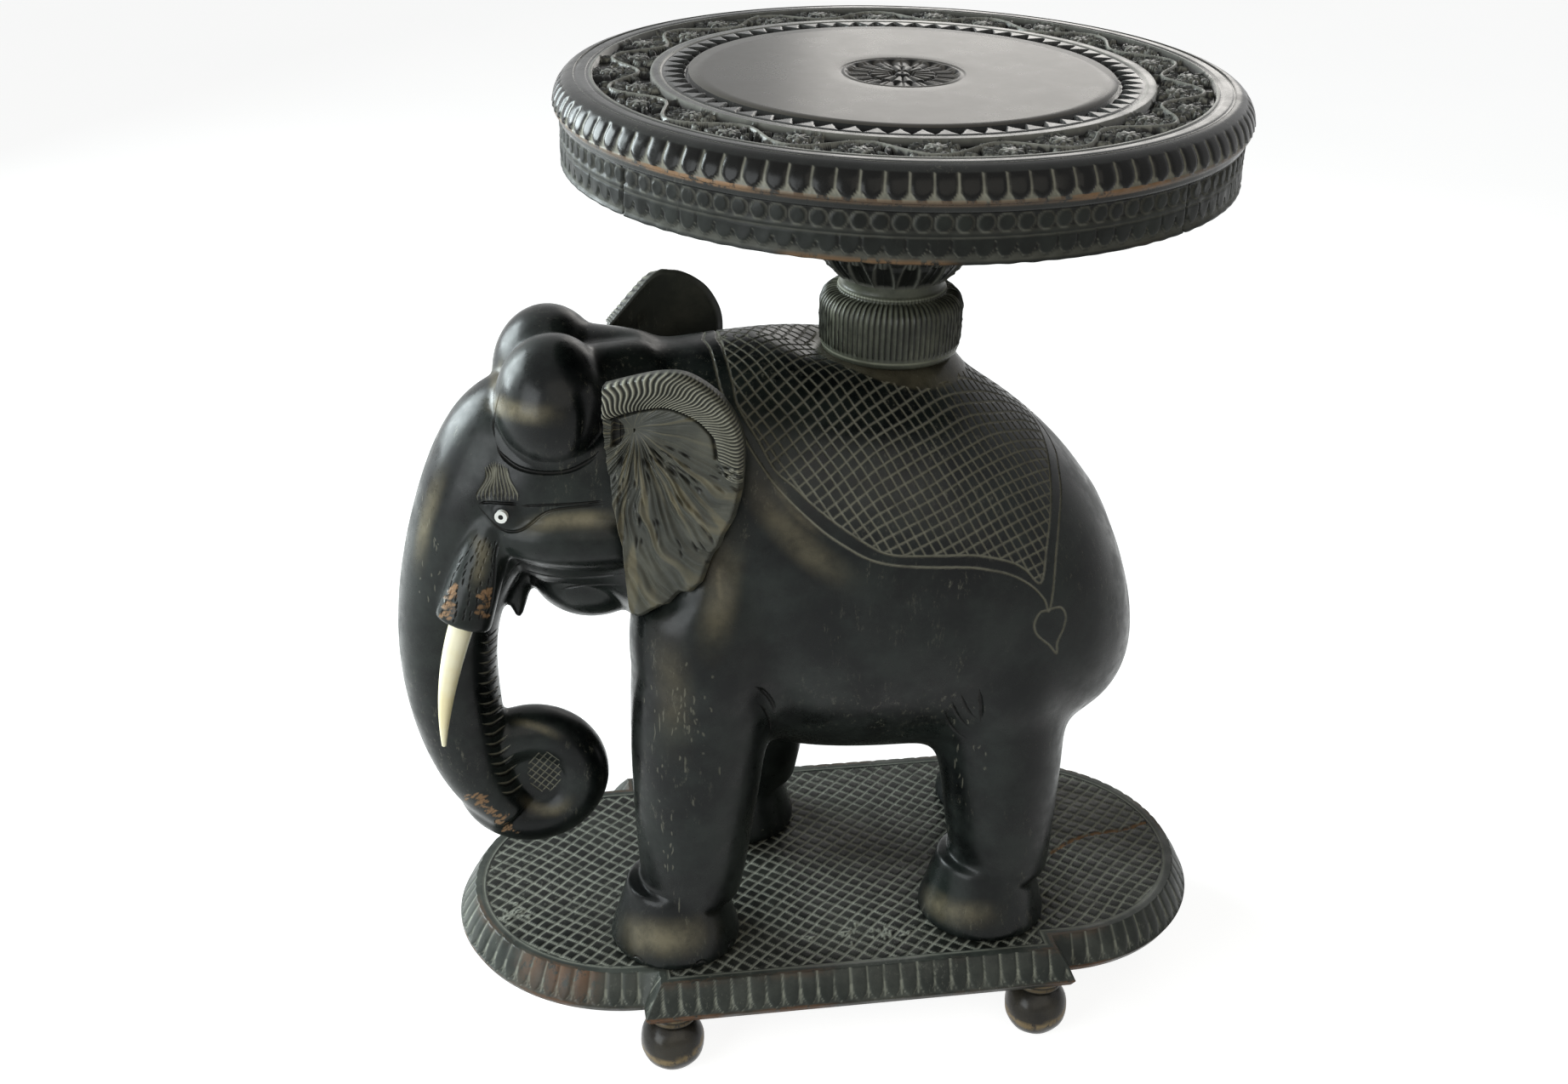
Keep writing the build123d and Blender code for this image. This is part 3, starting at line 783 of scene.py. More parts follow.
def animal_lines(volume, carving):
    """All carved lines of the animal, apart from its cloth, and its places of paler tan, partly rubbing and
    partly painted sheen.
    """
    draw = np.random.default_rng(11)
    for width, strength, pixels in RUBBED_AND_SHEEN:
        path = volume.seen(smooth_path(pixels, 3))
        if len(path) > 1:
            carving.rub_and_sheen(path, width, strength)
    bare_patches(draw)
    for width, depth, kind, taper, pixels in ANIMAL_LINES:
        cut_pixels(pixels, width, depth, kind, taper)
    brow()
    sleeve_hairs(draw)
    trunk_ladder()
    nostril()
    toenails()
    scratches(draw)
    cut_planned(volume, carving)


# ---------------------------------------------------------------- materials
RED_WOOD = (0.32, 0.19, 0.1)
# Black of the carved grooves; also the painted shade under each rung of the trunk and the painted shadow in
# the notches of the apron's scallops.
GROOVE_BLACK_AND_SHADE = (0.004, 0.004, 0.0035)
RUBBED_AND_SHEEN_TAN = (0.2, 0.175, 0.115)


def feed(tree, socket, value):
    """Link or set an input: a socket, a number or a colour."""
    if isinstance(value, bpy.types.NodeSocket):
        tree.links.new(value, socket)
    elif isinstance(value, tuple):
        socket.default_value = (*value, 1)
    else:
        socket.default_value = value


def socket_mix(tree, factor, low, high):
    """A colour mix; each input is a socket or a colour."""
    mix = tree.nodes.new("ShaderNodeMix")
    mix.data_type = "RGBA"
    for place, value in ((0, factor), (6, low), (7, high)):
        feed(tree, mix.inputs[place], value)
    return mix.outputs[2]


def math_node(tree, operation, a, b, clamp=False):
    node = tree.nodes.new("ShaderNodeMath")
    node.operation = operation
    node.use_clamp = clamp
    feed(tree, node.inputs[0], a)
    feed(tree, node.inputs[1], b)
    return node.outputs[0]


def noise(tree, scale, detail=3.0, roughness=0.55, stretch=(1, 1, 1)):
    """Noise in object space, 0..1; scale in cycles a metre."""
    coord = tree.nodes.new("ShaderNodeTexCoord")
    mapping = tree.nodes.new("ShaderNodeMapping")
    mapping.inputs["Scale"].default_value = stretch
    tree.links.new(coord.outputs["Object"], mapping.inputs["Vector"])
    node = tree.nodes.new("ShaderNodeTexNoise")
    node.inputs["Scale"].default_value = scale
    node.inputs["Detail"].default_value = detail
    node.inputs["Roughness"].default_value = roughness
    tree.links.new(mapping.outputs["Vector"], node.inputs["Vector"])
    return node.outputs["Fac"]


def spread(tree, value, low, high, out_low=0.0, out_high=1.0):
    """Value from low..high mapped smoothly to out_low..out_high."""
    node = tree.nodes.new("ShaderNodeMapRange")
    node.interpolation_type = "SMOOTHSTEP"
    tree.links.new(value, node.inputs["Value"])
    limits = (("From Min", low), ("From Max", high), ("To Min", out_low), ("To Max", out_high))
    for name, limit in limits:
        node.inputs[name].default_value = limit
    return node.outputs["Result"]


def attribute(tree, name):
    node = tree.nodes.new("ShaderNodeAttribute")
    node.attribute_name = name
    return node.outputs["Fac"]


def stain(tree, dark, light, line, specks, scuffs):
    """Colour of the stained wood: cloudy, streaked, with pale specks, scuffs and faint scratches."""
    broad = spread(tree, noise(tree, 26, 6, 0.65), 0.38, 0.66)
    colour = socket_mix(tree, broad, dark, light)
    streaks = spread(tree, noise(tree, 60, 6, 0.7, (1, 1, 0.12)), 0.62, 0.85, 0, 0.5)
    colour = socket_mix(tree, streaks, colour, light)
    spots = spread(tree, noise(tree, 260, 5, 0.75), 0.69, 0.76, 0, specks)
    colour = socket_mix(tree, spots, colour, line)
    scuffed = math_node(tree, "MULTIPLY", spread(tree, noise(tree, 16, 3), 0.48, 0.62),
                        spread(tree, noise(tree, 330, 6, 0.8, (1, 1, 0.3)), 0.55, 0.68, 0, scuffs))
    faint = math_node(tree, "MULTIPLY", attribute(tree, "faint"), 0.6)
    return socket_mix(tree, math_node(tree, "MAXIMUM", scuffed, faint), colour, line)


def grain_bump(tree, grain):
    """Normal with the wood's fine grain."""
    bump = tree.nodes.new("ShaderNodeBump")
    bump.inputs["Strength"].default_value = grain
    bump.inputs["Distance"].default_value = 0.0006
    height = math_node(tree, "ADD", math_node(tree, "MULTIPLY", noise(tree, 900, 2), 0.25),
                       noise(tree, 170, 5, 0.6, (1, 1, 0.2)))
    tree.links.new(height, bump.inputs["Height"])
    return bump.outputs["Normal"]


def wood(name, dark, light, line, bare, rough=(0.3, 0.5), coat=0.3, grain=0.12, specks=0.5, scuffs=0.45,
         rubbed_and_sheen_to=RUBBED_AND_SHEEN_TAN):
    """Ebonised wood: stain that varies, dust in carved lines, bare wood where the stain has gone, black in
    grooves that also paints shade, and a warmer, paler tan that is partly rubbing and partly painted sheen.
    """
    material = bpy.data.materials.new(name)
    material.use_nodes = True
    tree = material.node_tree
    shader = tree.nodes["Principled BSDF"]
    colour = stain(tree, dark, light, line, specks, scuffs)
    # Black in grooves, which also paints the shade lines under the trunk's rungs and the shadows in the
    # apron's notches.
    deep = attribute(tree, "dark")
    colour = socket_mix(tree, deep, colour, GROOVE_BLACK_AND_SHADE)
    lines = math_node(tree, "MAXIMUM", attribute(tree, "line"), attribute(tree, "hatch"))
    lines = math_node(tree, "MULTIPLY", lines, spread(tree, noise(tree, 120, 3), 0.2, 0.6, 0.55, 1))
    colour = socket_mix(tree, lines, colour, line)
    # Warmer, paler tan: partly rubbing of the finish, partly painted sheen and highlights.
    rubbed_and_sheen = math_node(tree, "MULTIPLY", attribute(tree, "worn"),
                       spread(tree, noise(tree, 75, 5, 0.65), 0.25, 0.7, 0.35, 1))
    colour = socket_mix(tree, rubbed_and_sheen, colour, rubbed_and_sheen_to)
    worn = math_node(tree, "MULTIPLY", attribute(tree, "bare"),
                     spread(tree, noise(tree, 240, 5, 0.7, (1, 1, 0.5)), 0.36, 0.5))
    tan = socket_mix(tree, noise(tree, 90, 3), bare, tuple(0.55 * c for c in bare))
    tree.links.new(socket_mix(tree, worn, colour, tan), shader.inputs["Base Color"])
    gloss = spread(tree, noise(tree, 45, 6, 0.7), 0.36, 0.64, *rough)
    gloss = math_node(tree, "ADD", gloss, math_node(tree, "MULTIPLY", lines, 0.3))
    gloss = math_node(tree, "ADD", gloss, math_node(tree, "MULTIPLY", worn, 0.3), clamp=True)
    tree.links.new(gloss, shader.inputs["Roughness"])
    # The bottoms of carved grooves have no polish.
    polished = math_node(tree, "SUBTRACT", 1.0, math_node(tree, "MULTIPLY", deep, 0.9))
    tree.links.new(math_node(tree, "MULTIPLY", polished, 0.4 * coat), shader.inputs["Coat Weight"])
    shader.inputs["Coat Roughness"].default_value = 0.22
    shader.inputs["Specular IOR Level"].default_value = 0.14
    tree.links.new(grain_bump(tree, grain), shader.inputs["Normal"])
    return material


def dress(piece, material):
    piece.data.materials.clear()
    piece.data.materials.append(material)


# ---------------------------------------------------------------- turned work
def fine_profile(corners):
    """Profile points from (radius, height, steps) corners; steps is how many cuts lead to it."""
    out = [corners[0][:2]]
    for (r0, z0, _), (r1, z1, steps) in zip(corners[:-1], corners[1:]):
        for step in range(1, steps + 1):
            share = step / steps
            out.append((r0 + (r1 - r0) * share, z0 + (z1 - z0) * share))
    return np.array(out)


def arc_corners(start, end, bulge, steps):
    """Corners along an arc from one point to another; bulge is how far its middle is pushed out."""
    chord = np.array(end) - start
    side = np.array([chord[1], -chord[0]]) / np.linalg.norm(chord)
    shares = np.linspace(0, 1, steps + 1)[1:]
    return [(*(start + chord * t + side * bulge * 4 * t * (1 - t)), 1) for t in shares]


def lathe(name, corners, count, relief=None, masks=None, centre=(SEAT_X, 0), span=(0, TURN)):
    """Turned piece with carved relief round a centre.

    relief(r, z, angle) gives the depth along the inward normal at each profile point and angle;
    masks(r, z, angle) gives named masks the same way."""
    profile = fine_profile(corners)
    full = span[1] - span[0] > TURN - 1e-6
    angle = np.linspace(*span, count + (0 if full else 1), endpoint=not full)
    tangent = np.roll(profile, -1, axis=0) - np.roll(profile, 1, axis=0)
    tangent /= np.maximum(np.linalg.norm(tangent, axis=1), 1e-9)[:, None]
    outward = np.stack([-tangent[:, 1], tangent[:, 0]], 1)
    r = profile[:, 0][:, None] * np.ones(len(angle))
    z = profile[:, 1][:, None] * np.ones(len(angle))
    a = np.ones(len(profile))[:, None] * angle
    depth = relief(r, z, a) if relief else np.zeros_like(r)
    reach = r - depth * outward[:, :1]
    height = z - depth * outward[:, 1:]
    points = np.stack([centre[0] + reach * np.cos(a), centre[1] + reach * np.sin(a), height], -1)
    faces = grid_faces(len(profile), len(angle), True, full)
    values = {key: value.ravel() for key, value in masks(r, z, a).items()} if masks else {}
    return mesh_object(name, points.reshape(-1, 3), faces, values)


# ---------------------------------------------------------------- disc of the seat
TOP_Z = 520.0
TOP_R = 168.5
DISC_R = 103.0
FACE_LOW = 512.0
ROSE_R = 28.0
PETALS = 16


def disc_relief(r, z, a):
    """Sunk rosette: a bowl with two rows of petals round a button."""
    top = z > TOP_Z - 0.5
    p, _ = saw(a, PETALS)
    q, _ = saw(a, PETALS, 0.5)
    outer = ramp(r, 15, 17) * ramp(27.5 - r, -0.2, 2 + 3 * (1 - dome(2 * p)))
    inner = ramp(r, 5, 7) * ramp(16.5 - r, -0.2, 1 + 2.5 * (1 - dome(2 * q)))
    raised = np.maximum(outer * (1.7 * dome(2 * p) - 0.6 * bell(p, 0.05)), inner * (1.9 * dome(2 * q) + 0.3))
    raised = np.maximum(raised, 2.2 * ramp(5.0 - r, 0, 2.5))
    bowl = 2.6 * ramp(ROSE_R - r, 0, 3) * top
    return bowl - raised * top * (r < ROSE_R) + 0.5 * bell(r - 29.5, 0.7) * top


def disc_masks(r, z, a):
    rose = (r < ROSE_R + 0.3) & (z > TOP_Z - 0.5)
    p, _ = saw(a, PETALS)
    q, _ = saw(a, PETALS, 0.5)
    veins = bell(p, 0.06) * ramp(r, 15, 18) * (r < 26.5)
    rims = bell(r - 27.2 + 3 * (2 * p) ** 2, 0.55) * (r > 18)
    light = np.maximum(veins, rims)
    leaf = dome(2 * p) * ramp(r, 16, 18) * ramp(27.5 - r, 0, 2)
    bud = dome(2 * q) * ramp(r, 5, 7) * ramp(16 - r, 0, 2)
    return {"dark": rose * (1 - 0.55 * np.maximum(leaf, bud)) * (1 - light), "line": rose * light * 0.9}


# ---------------------------------------------------------------- vine border
BORDER_MID = 135.0
BORDER_HALF = 14.0
VINE_REPEATS = 14
VINE_LENGTH = TURN * BORDER_MID / VINE_REPEATS
VINE_SWING = 8.2
VINE_OVERLAP = 14
BAY_DEPTH = 4.6
BAY_LEAF_REACH = 6.0
STEM_LEAVES = 6
TEETH = 68


def leaf_form(t, v, place, turn, length, width):
    """Pointed leaf with a midrib: height share and edge share."""
    c, s = np.cos(turn), np.sin(turn)
    along = ((t - place[0]) * c + (v - place[1]) * s) / length
    across = (-(t - place[0]) * s + (v - place[1]) * c) / width
    half = np.clip(along * (1 - along) * 4, 0, 1) ** 0.8 * np.where(along < 0.5, 1.0, 0.85)
    inside = (along > 0) & (along < 1)
    gap = np.abs(across) / np.maximum(half, 1e-3)
    body = inside * np.clip(1 - gap**4, 0, 1) * (1 - 0.4 * bell(across, 0.16) * inside)
    rim = inside * bell(gap - 0.86, 0.16) * (gap < 1.1)
    return body * (0.84 + 0.16 * np.clip(across, -1, 1)), rim


def flower_form(t, v, place, radius, petals, twist):
    """Flower seen from above, with two rings of petals and a button: height and edge share."""
    dx, dy = t - place[0], v - place[1]
    r = np.hypot(dx, dy) / radius
    a = np.arctan2(dy, dx) + twist
    p = np.abs((a / TURN * petals) % 1 - 0.5) * 2
    q = np.abs((a / TURN * petals + 0.5) % 1 - 0.5) * 2
    lobe = dome(p)
    outer = np.clip((0.72 + 0.28 * lobe - r) * 6, 0, 1)
    inner = np.clip((0.38 + 0.14 * dome(q) - r) * 7, 0, 1)
    button = np.clip((0.2 - r) * 9, 0, 1)
    height = outer * (0.62 + 0.3 * lobe - 0.25 * (p > 0.9)) + inner * 0.15 + button * 0.25
    rim = bell(r - 0.67 - 0.28 * lobe, 0.07) + 0.8 * bell(r - 0.38, 0.05)
    return height * (outer > 0), np.clip(rim, 0, 1) * (r < 1.05)


def stem_form(t, v):
    """The stem, a wave between the rings: height share and edge share."""
    wave = VINE_SWING * np.sin(TURN * t / VINE_LENGTH)
    slope = VINE_SWING * TURN / VINE_LENGTH * np.cos(TURN * t / VINE_LENGTH)
    gap = np.abs(v - wave) / np.sqrt(1 + slope**2)
    stem = cut_form(gap, 1.25) ** 0.5
    return stem, (gap < 0.9) * 0.85 * stem


def bay_forms(t, v, middle, sign, draw):
    """A flower in a bay of the stem, with leaves curling round it."""
    place = (middle + draw.uniform(-0.8, 0.8), sign * BAY_DEPTH)

    def leaf(turn, lean, length, width):
        base = (place[0] + BAY_LEAF_REACH * np.cos(turn), place[1] + BAY_LEAF_REACH * np.sin(turn))
        return leaf_form(t, v, base, turn + lean, length, width)

    for k in range(7):
        turn = sign * (np.pi * (k + 0.5) / 7) * 1.25 - sign * 0.35 + draw.uniform(-0.15, 0.15)
        yield leaf(turn, sign * 0.7, draw.uniform(6.5, 8.5), 2.1)
    for k in range(4):
        turn = -sign * (0.5 + 0.62 * k) + draw.uniform(-0.2, 0.2)
        yield leaf(turn, -sign * 0.7, 6.5, 2.0)
    yield flower_form(t, v, place, 6.2, 7, draw.uniform(0, 1))


def vine_forms(t, v, draw):
    """All forms of one repeat of the vine."""
    yield stem_form(t, v)
    for half, sign in ((0.25, -1), (0.75, 1)):
        yield from bay_forms(t, v, VINE_LENGTH * half, sign, draw)
    for k in range(STEM_LEAVES):
        at = VINE_LENGTH * (k + 0.5) / STEM_LEAVES
        rise = VINE_SWING * np.sin(TURN * at / VINE_LENGTH)
        for sign in (-1, 1):
            turn = sign * draw.uniform(0.7, 1.25) + 0.5 * np.cos(TURN * at / VINE_LENGTH)
            yield leaf_form(t, v, (at, rise), turn, draw.uniform(6.5, 8.5), 2.1)


def border_field(r, a):
    """Height and light-edge shares of the scrolling vine between the two rings."""
    t = a / TURN * VINE_REPEATS * VINE_LENGTH
    v = r - BORDER_MID
    height = np.zeros_like(r)
    rim = np.zeros_like(r)
    for repeat in range(-1, VINE_REPEATS + 1):
        start = repeat * VINE_LENGTH
        draw = np.random.default_rng(21 + repeat % VINE_REPEATS)
        pick = (t > start - VINE_OVERLAP) & (t < start + VINE_LENGTH + VINE_OVERLAP)
        local, edge = np.zeros(pick.sum()), np.zeros(pick.sum())
        for new, new_edge in vine_forms(t[pick] - start, v[pick], draw):
            edge = np.where(new > local + 0.02, new_edge, edge)
            local = np.maximum(local, new)
        height[pick] = np.maximum(height[pick], local)
        rim[pick] = edge
    inside = ramp(BORDER_HALF - np.abs(v), 0.0, 0.8)
    return height * inside, rim * inside


def past_teeth(r, a):
    """How far outside the zigzag edge of the dog teeth."""
    p, number = saw(a, TEETH)
    return r - (104.5 + 18.5 * np.abs(p + shake(number, 2, 0.03)))


def border_relief(r, z, a):
    """Dog teeth, plain ring and the sunk vine border; depth below the board's face."""
    tooth = ramp(past_teeth(r, a), -0.2, 0.7) * (r < 114.5)
    teeth = 1.9 * ((r > 103.6) & (r < 114.8)) * (1 - tooth)
    rings = 0.9 * bell(r - 115.3, 0.55) + 0.6 * bell(r - 103.6, 0.5)
    rings += 0.8 * bell(r - 151.2, 0.5) + 0.8 * bell(r - 157.0, 0.5)
    height, _ = border_field(r, a)
    sunk = ramp(BORDER_HALF - np.abs(r - BORDER_MID), 0, 0.7)
    vine = sunk * (3.4 - 3.3 * np.minimum(height, 1.02))
    return (teeth + rings + vine) * (z > TOP_Z - 0.5)


def border_masks(r, z, a):
    face = z > TOP_Z - 0.5
    teeth = (r > 103.6) & (r < 114.8) & (past_teeth(r, a) < 0)
    height, rim = border_field(r, a)
    vine = np.abs(r - BORDER_MID) < BORDER_HALF
    edges = bell(r - 116.6, 0.6) + bell(r - 120.6, 0.5) + bell(r - 149.6, 0.6) + 0.7 * bell(r - 158.0, 0.5)
    flat = np.stack([r * np.cos(a), r * np.sin(a)], -1)
    # Painted glints: pale spots on the tops of the leaves, standing in for highlights.
    painted_glint = ramp(height, 0.72, 0.95) * ramp(wobble(flat, 3.0, 71), -0.5, 0.6)
    return {
        "dark": np.maximum(teeth, vine * ramp(0.8 - height, 0, 0.3)) * face,
        "line": np.clip(edges + vine * np.maximum(rim * 0.95, painted_glint), 0, 1) * face,
    }


# ---------------------------------------------------------------- moulding
TONGUES = 103
TONGUE_ROOT = 0.3
TONGUE_END = 0.96
MOULDING_WIDE, MOULDING_HIGH = 11.0, 14.0


def tongue_form(across, along):
    """Round-ended tongue in a cell: across -0.5..0.5, along 0 at its root to 1 at its tip."""
    half = 0.475 * dome(np.clip((along - 0.55) / 0.43, 0, 1))
    gap = np.abs(across) / np.maximum(half, 1e-3)
    inside = (along < 0.98) & (along > 0.0)
    body = np.clip(1 - gap**4, 0, 1) ** 0.7 * inside
    spindle = bell(np.abs(across) - 0.5, 0.045) * (along < 0.95)
    rim = bell(gap - 1.0, 0.1) * inside * (along > 0.5)
    return body, spindle, rim


def moulding_place(r, z):
    """Mask of the convex moulding, and 0 at its inner edge to 1 at its lower outer edge."""
    turn = np.arctan2(r - (TOP_R - MOULDING_WIDE), z - (TOP_Z - MOULDING_HIGH))
    on = (r > TOP_R - MOULDING_WIDE - 0.2) & (z > TOP_Z - MOULDING_HIGH - 0.2)
    return on, np.clip(turn / (np.pi / 2), 0, 1)


def moulding_tongues(a, along):
    """Place across its cell, number, and forms of the tongue at each angle."""
    p, number = saw(a, TONGUES)
    share = (along - TONGUE_ROOT) / (TONGUE_END - TONGUE_ROOT)
    return p, number, tongue_form(p + shake(number, 4, 0.02), share)


def moulding_relief(r, z, a):
    on, along = moulding_place(r, z)
    _, number, (body, spindle, _) = moulding_tongues(a, along)
    rooted = ramp(along, TONGUE_ROOT - 0.02, TONGUE_ROOT + 0.1)
    return on * (0.15 + rooted * (1.1 + 0.07 * shake(number, 5) - 1.1 * body - 0.3 * spindle))


def moulding_masks(r, z, a):
    on, along = moulding_place(r, z)
    on = on & (along > TONGUE_ROOT)
    p, _, (body, spindle, rim) = moulding_tongues(a, along)
    below = (body < 0.02) * (along > 0.74) * (np.abs(p) > 0.2)
    ledge = (z < TOP_Z - 13.5) & (z > TOP_Z - 17.0) & (r > TOP_R - 3)
    patch = np.clip(np.sin(a * 5 + 1.0) + np.sin(a * 11 + 2.0) * 0.7, 0, 1)
    return {
        "line": np.clip(on * (0.95 * spindle + rim * 0.3) + on * below * 0.75, 0, 1),
        "dark": on * np.clip(2.5 * body, 0, 1) * 0.92,
        "bare": ledge * (0.35 + 0.65 * patch),
    }


# ---------------------------------------------------------------- apron
APRON_R = 165.0
APRON_IN = 145.2
APRON_LOW = 478.5
APRON_TOP = 500.9
APRON_DISCS = 118
DISC_Z, DISC_PITCH, DISC_SIZE = 496.4, 8.8, 3.7
SCALLOPS = 110
SCALLOP_TOP, SCALLOP_DEEP = 489.6, 8.2
RULES = (492.2, 490.3)
# Angles of the joints between the four pieces, in degrees.
JOINTS = [-150.0, -53.0, 33.0, 125.0]


def apron_discs(z, a):
    """Raised discs of the band, and their rims."""
    p, number = saw(a, APRON_DISCS)
    gap = np.hypot((p + shake(number, 8, 0.03)) * DISC_PITCH, z - DISC_Z)
    return np.clip((DISC_SIZE - gap) * 2.0, 0, 1), bell(gap - DISC_SIZE - 0.2, 0.45)


def scallop_low(a):
    """Height of the lower edge of the scallops at each angle."""
    q, number = saw(a, SCALLOPS)
    return SCALLOP_TOP - SCALLOP_DEEP * dome(2.04 * (q + shake(number, 9, 0.03))) ** 0.8


def rules(z):
    return sum(bell(z - height, 0.35) for height in RULES)


def apron_relief(r, z, a):
    """Band with discs, two rules, scallops with sunk triangles, and open joints."""
    disc, _ = apron_discs(z, a)
    low = scallop_low(a)
    scallop = ramp(z - low, -0.3, 0.5) * (z < SCALLOP_TOP)
    triangle = ramp(low - z, 0.3, 1.0) * (z > 480.0)
    band = ramp(z, 492.6, 493.2) * ramp(500.3 - z, 0, 0.6)
    depth = band * (1.0 - 0.9 * disc) + 0.7 * rules(z)
    depth += (z < 489.8) * (z > 480) * (1.1 - 0.95 * scallop - 0.36 * triangle)
    for degrees in JOINTS:
        turn = (a - np.radians(degrees) + np.pi) % TURN - np.pi
        depth += 1.2 * bell(turn * APRON_R, 0.5)
    rough = 0.18 * wobble(np.stack([a * APRON_R, z, r], -1), 7.0, 12)
    return (r > APRON_R - 0.5) * (depth + rough)


def apron_masks(r, z, a):
    face = r > APRON_R - 0.5
    disc, rim = apron_discs(z, a)
    low = scallop_low(a)
    triangle = ramp(low - z, 0.3, 1.0) * (z > 480.0)
    edge = bell(z - low, 0.4) * (z > 480.4) * (z < 489.4)
    line = 0.6 * rim + 0.6 * rules(z) + 0.7 * edge + 0.5 * triangle * ramp(484 - z, 0, 2)
    # Dark ground between the discs, and painted shadow in the upper part of each sunk triangle, at the notch
    # between two scallops.
    dark = (z > 492.8) * (1 - disc) * 0.8 + triangle * ramp(z, 483, 486) * (z < 489.5)
    patch = np.clip(np.sin(a * 3 + 0.4) + np.sin(a * 7 + 2.4), 0, 1)
    return {
        "line": face * np.clip(line, 0, 1),
        "dark": face * np.clip(dark, 0, 1),
        "bare": face * bell(z - 479.4, 0.9) * ramp(patch, 0.45, 1.2) * 0.8,
    }


def seat(woods):
    """The four parts of the board: disc, border, moulding, and the plain underside."""
    rim = DISC_R + 0.6
    disc = lathe("seat_disc", [(0.05, TOP_Z, 0), (28, TOP_Z, 36), (31, TOP_Z, 5), (DISC_R, TOP_Z, 10),
                               (rim, TOP_Z - 3, 2), (rim, FACE_LOW, 1), (0.05, FACE_LOW, 3)],
                 480, disc_relief, disc_masks)
    border = lathe("seat_border", [(DISC_R, TOP_Z, 0), (121, TOP_Z, 22), (149, TOP_Z, 42), (158, TOP_Z, 12),
                                   (158, FACE_LOW, 1), (DISC_R, FACE_LOW, 2)],
                   1260, border_relief, border_masks)
    turns = np.pi / 2 * np.arange(1, 21) / 20
    corners = [(120.0, 513.0, 0), (157.4, 513.0, 2), (157.5, TOP_Z, 1)]
    corners += [(TOP_R - MOULDING_WIDE + MOULDING_WIDE * np.sin(turn),
                 TOP_Z - MOULDING_HIGH + MOULDING_HIGH * np.cos(turn), 1) for turn in turns]
    corners += [(165.6, 504.2, 3), (165.2, 501.0, 3), (120.0, 501.0, 2)]
    edge = lathe("seat_moulding", corners, TONGUES * 12, moulding_relief, moulding_masks)
    under = lathe("seat_underside", [(0.05, 512.5, 0), (150, 512.5, 3), (150, 501.2, 2), (0.05, 501.2, 6)],
                  96)
    for piece, wood_name in ((disc, "disc"), (border, "top"), (edge, "edge"), (under, "plain")):
        dress(piece, woods[wood_name])
        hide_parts("table_top")


def apron(woods):
    corners = [(APRON_IN, APRON_TOP, 0), (APRON_R, APRON_TOP, 4), (APRON_R, APRON_LOW, 27),
               (APRON_IN, APRON_LOW, 4)]
    for index, (start, end) in enumerate(zip(JOINTS, JOINTS[1:] + JOINTS[:1])):
        stretch = (end - start) % 360
        first = np.radians(start)
        band = lathe(f"apron_carving_{index + 1}", corners, int(stretch * 3.9),
                     apron_relief, apron_masks, span=(first, first + np.radians(stretch)))
        dress(band, woods["apron"])
        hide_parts(f"apron_segment_{index + 1}")


# ---------------------------------------------------------------- pedestal
REEDS = 78
BEADS = 96
REED_LOW, REED_HIGH = 384.5, 412.5
CUP_Z = 420.0
# Lower and upper end, and turn in shares of a leaf, of the two rows of leaves of the cup.
CUP_ROWS = ((1.5, 22.0, 0.0), (14.0, 44.0, 0.5))
CUP_LEAVES = 18


def reeded(r, z):
    """Share of the drum's side that is reeded."""
    return ramp(z, REED_LOW, REED_LOW + 1.5) * ramp(REED_HIGH - z, 0.0, 2.5) * (r > 27.2)


def pedestal_relief(r, z, a):
    """Reeds round the drum, beads at the neck's foot, fine rings above."""
    bend = 0.25 * np.sin(z * 0.35 + 3 * np.sin(a * 9)) / 78
    p, number = saw(a + bend * TURN / 6, REEDS)
    q, _ = saw(a, BEADS)
    depth = reeded(r, z) * (1.15 * (1 - dome(2 * p)) + 0.25 * shake(number, 3))
    depth += bell(z - 412.6, 0.8) * (0.5 - 0.6 * dome(2 * q))
    depth += 0.4 * bell(z - 417.5, 0.4) + 0.6 * bell(z - 384.2, 0.5)
    return depth * (r > 20)


def pedestal_masks(r, z, a):
    p, _ = saw(a, REEDS)
    drum = reeded(r, z)
    line = drum * bell(p, 0.2) * 0.5 * ramp(z, 398, 412)
    line += 0.8 * bell(z - 383.2, 0.5) + 0.5 * bell(z - 413.4, 0.4)
    return {"line": np.clip(line, 0, 1), "dark": drum * (np.abs(p) > 0.38) * 0.8}


def cup_leaf(up, a, low, high, phase):
    """Place across a leaf, 0 at its middle and 1 at its edge, and place within its cell."""
    p, _ = saw(a, CUP_LEAVES, phase)
    along = np.clip((up - low) / (high - low), 0, 1)
    half = 0.49 * np.clip(1 - along**1.6, 0, 1) ** 0.7
    return np.abs(p) / np.maximum(half, 1e-3), p


def cup_relief(r, z, a):
    """Two rows of pointed leaves round the cup."""
    up = z - CUP_Z
    depth = np.zeros_like(r)
    for low, high, phase in CUP_ROWS:
        gap, p = cup_leaf(up, a, low, high, phase)
        inside = (gap < 1) & (up > low) & (up < high)
        leaf = np.clip(1 - gap**3, 0, 1) ** 0.5 * inside
        rib = bell(p, 0.03) * inside
        first = phase == 0
        depth = np.where(inside, 1.6 * (1 - leaf) + 0.5 * rib - 0.5 * first * leaf, depth + 0.9 * first)
    return depth * (r > 24) * (up < 47) * (up > 0.5)


def cup_masks(r, z, a):
    up = z - CUP_Z
    line = np.zeros_like(r)
    for low, high, phase in CUP_ROWS:
        gap, _ = cup_leaf(up, a, low, high, phase)
        line = np.maximum(line, bell(gap - 0.88, 0.13) * (up > low) * (up < high))
    line = np.maximum(line * 0.7, bell(up - 0.8, 0.5))
    return {"dark": 0.5 * (1 - line), "line": line * (r > 24)}


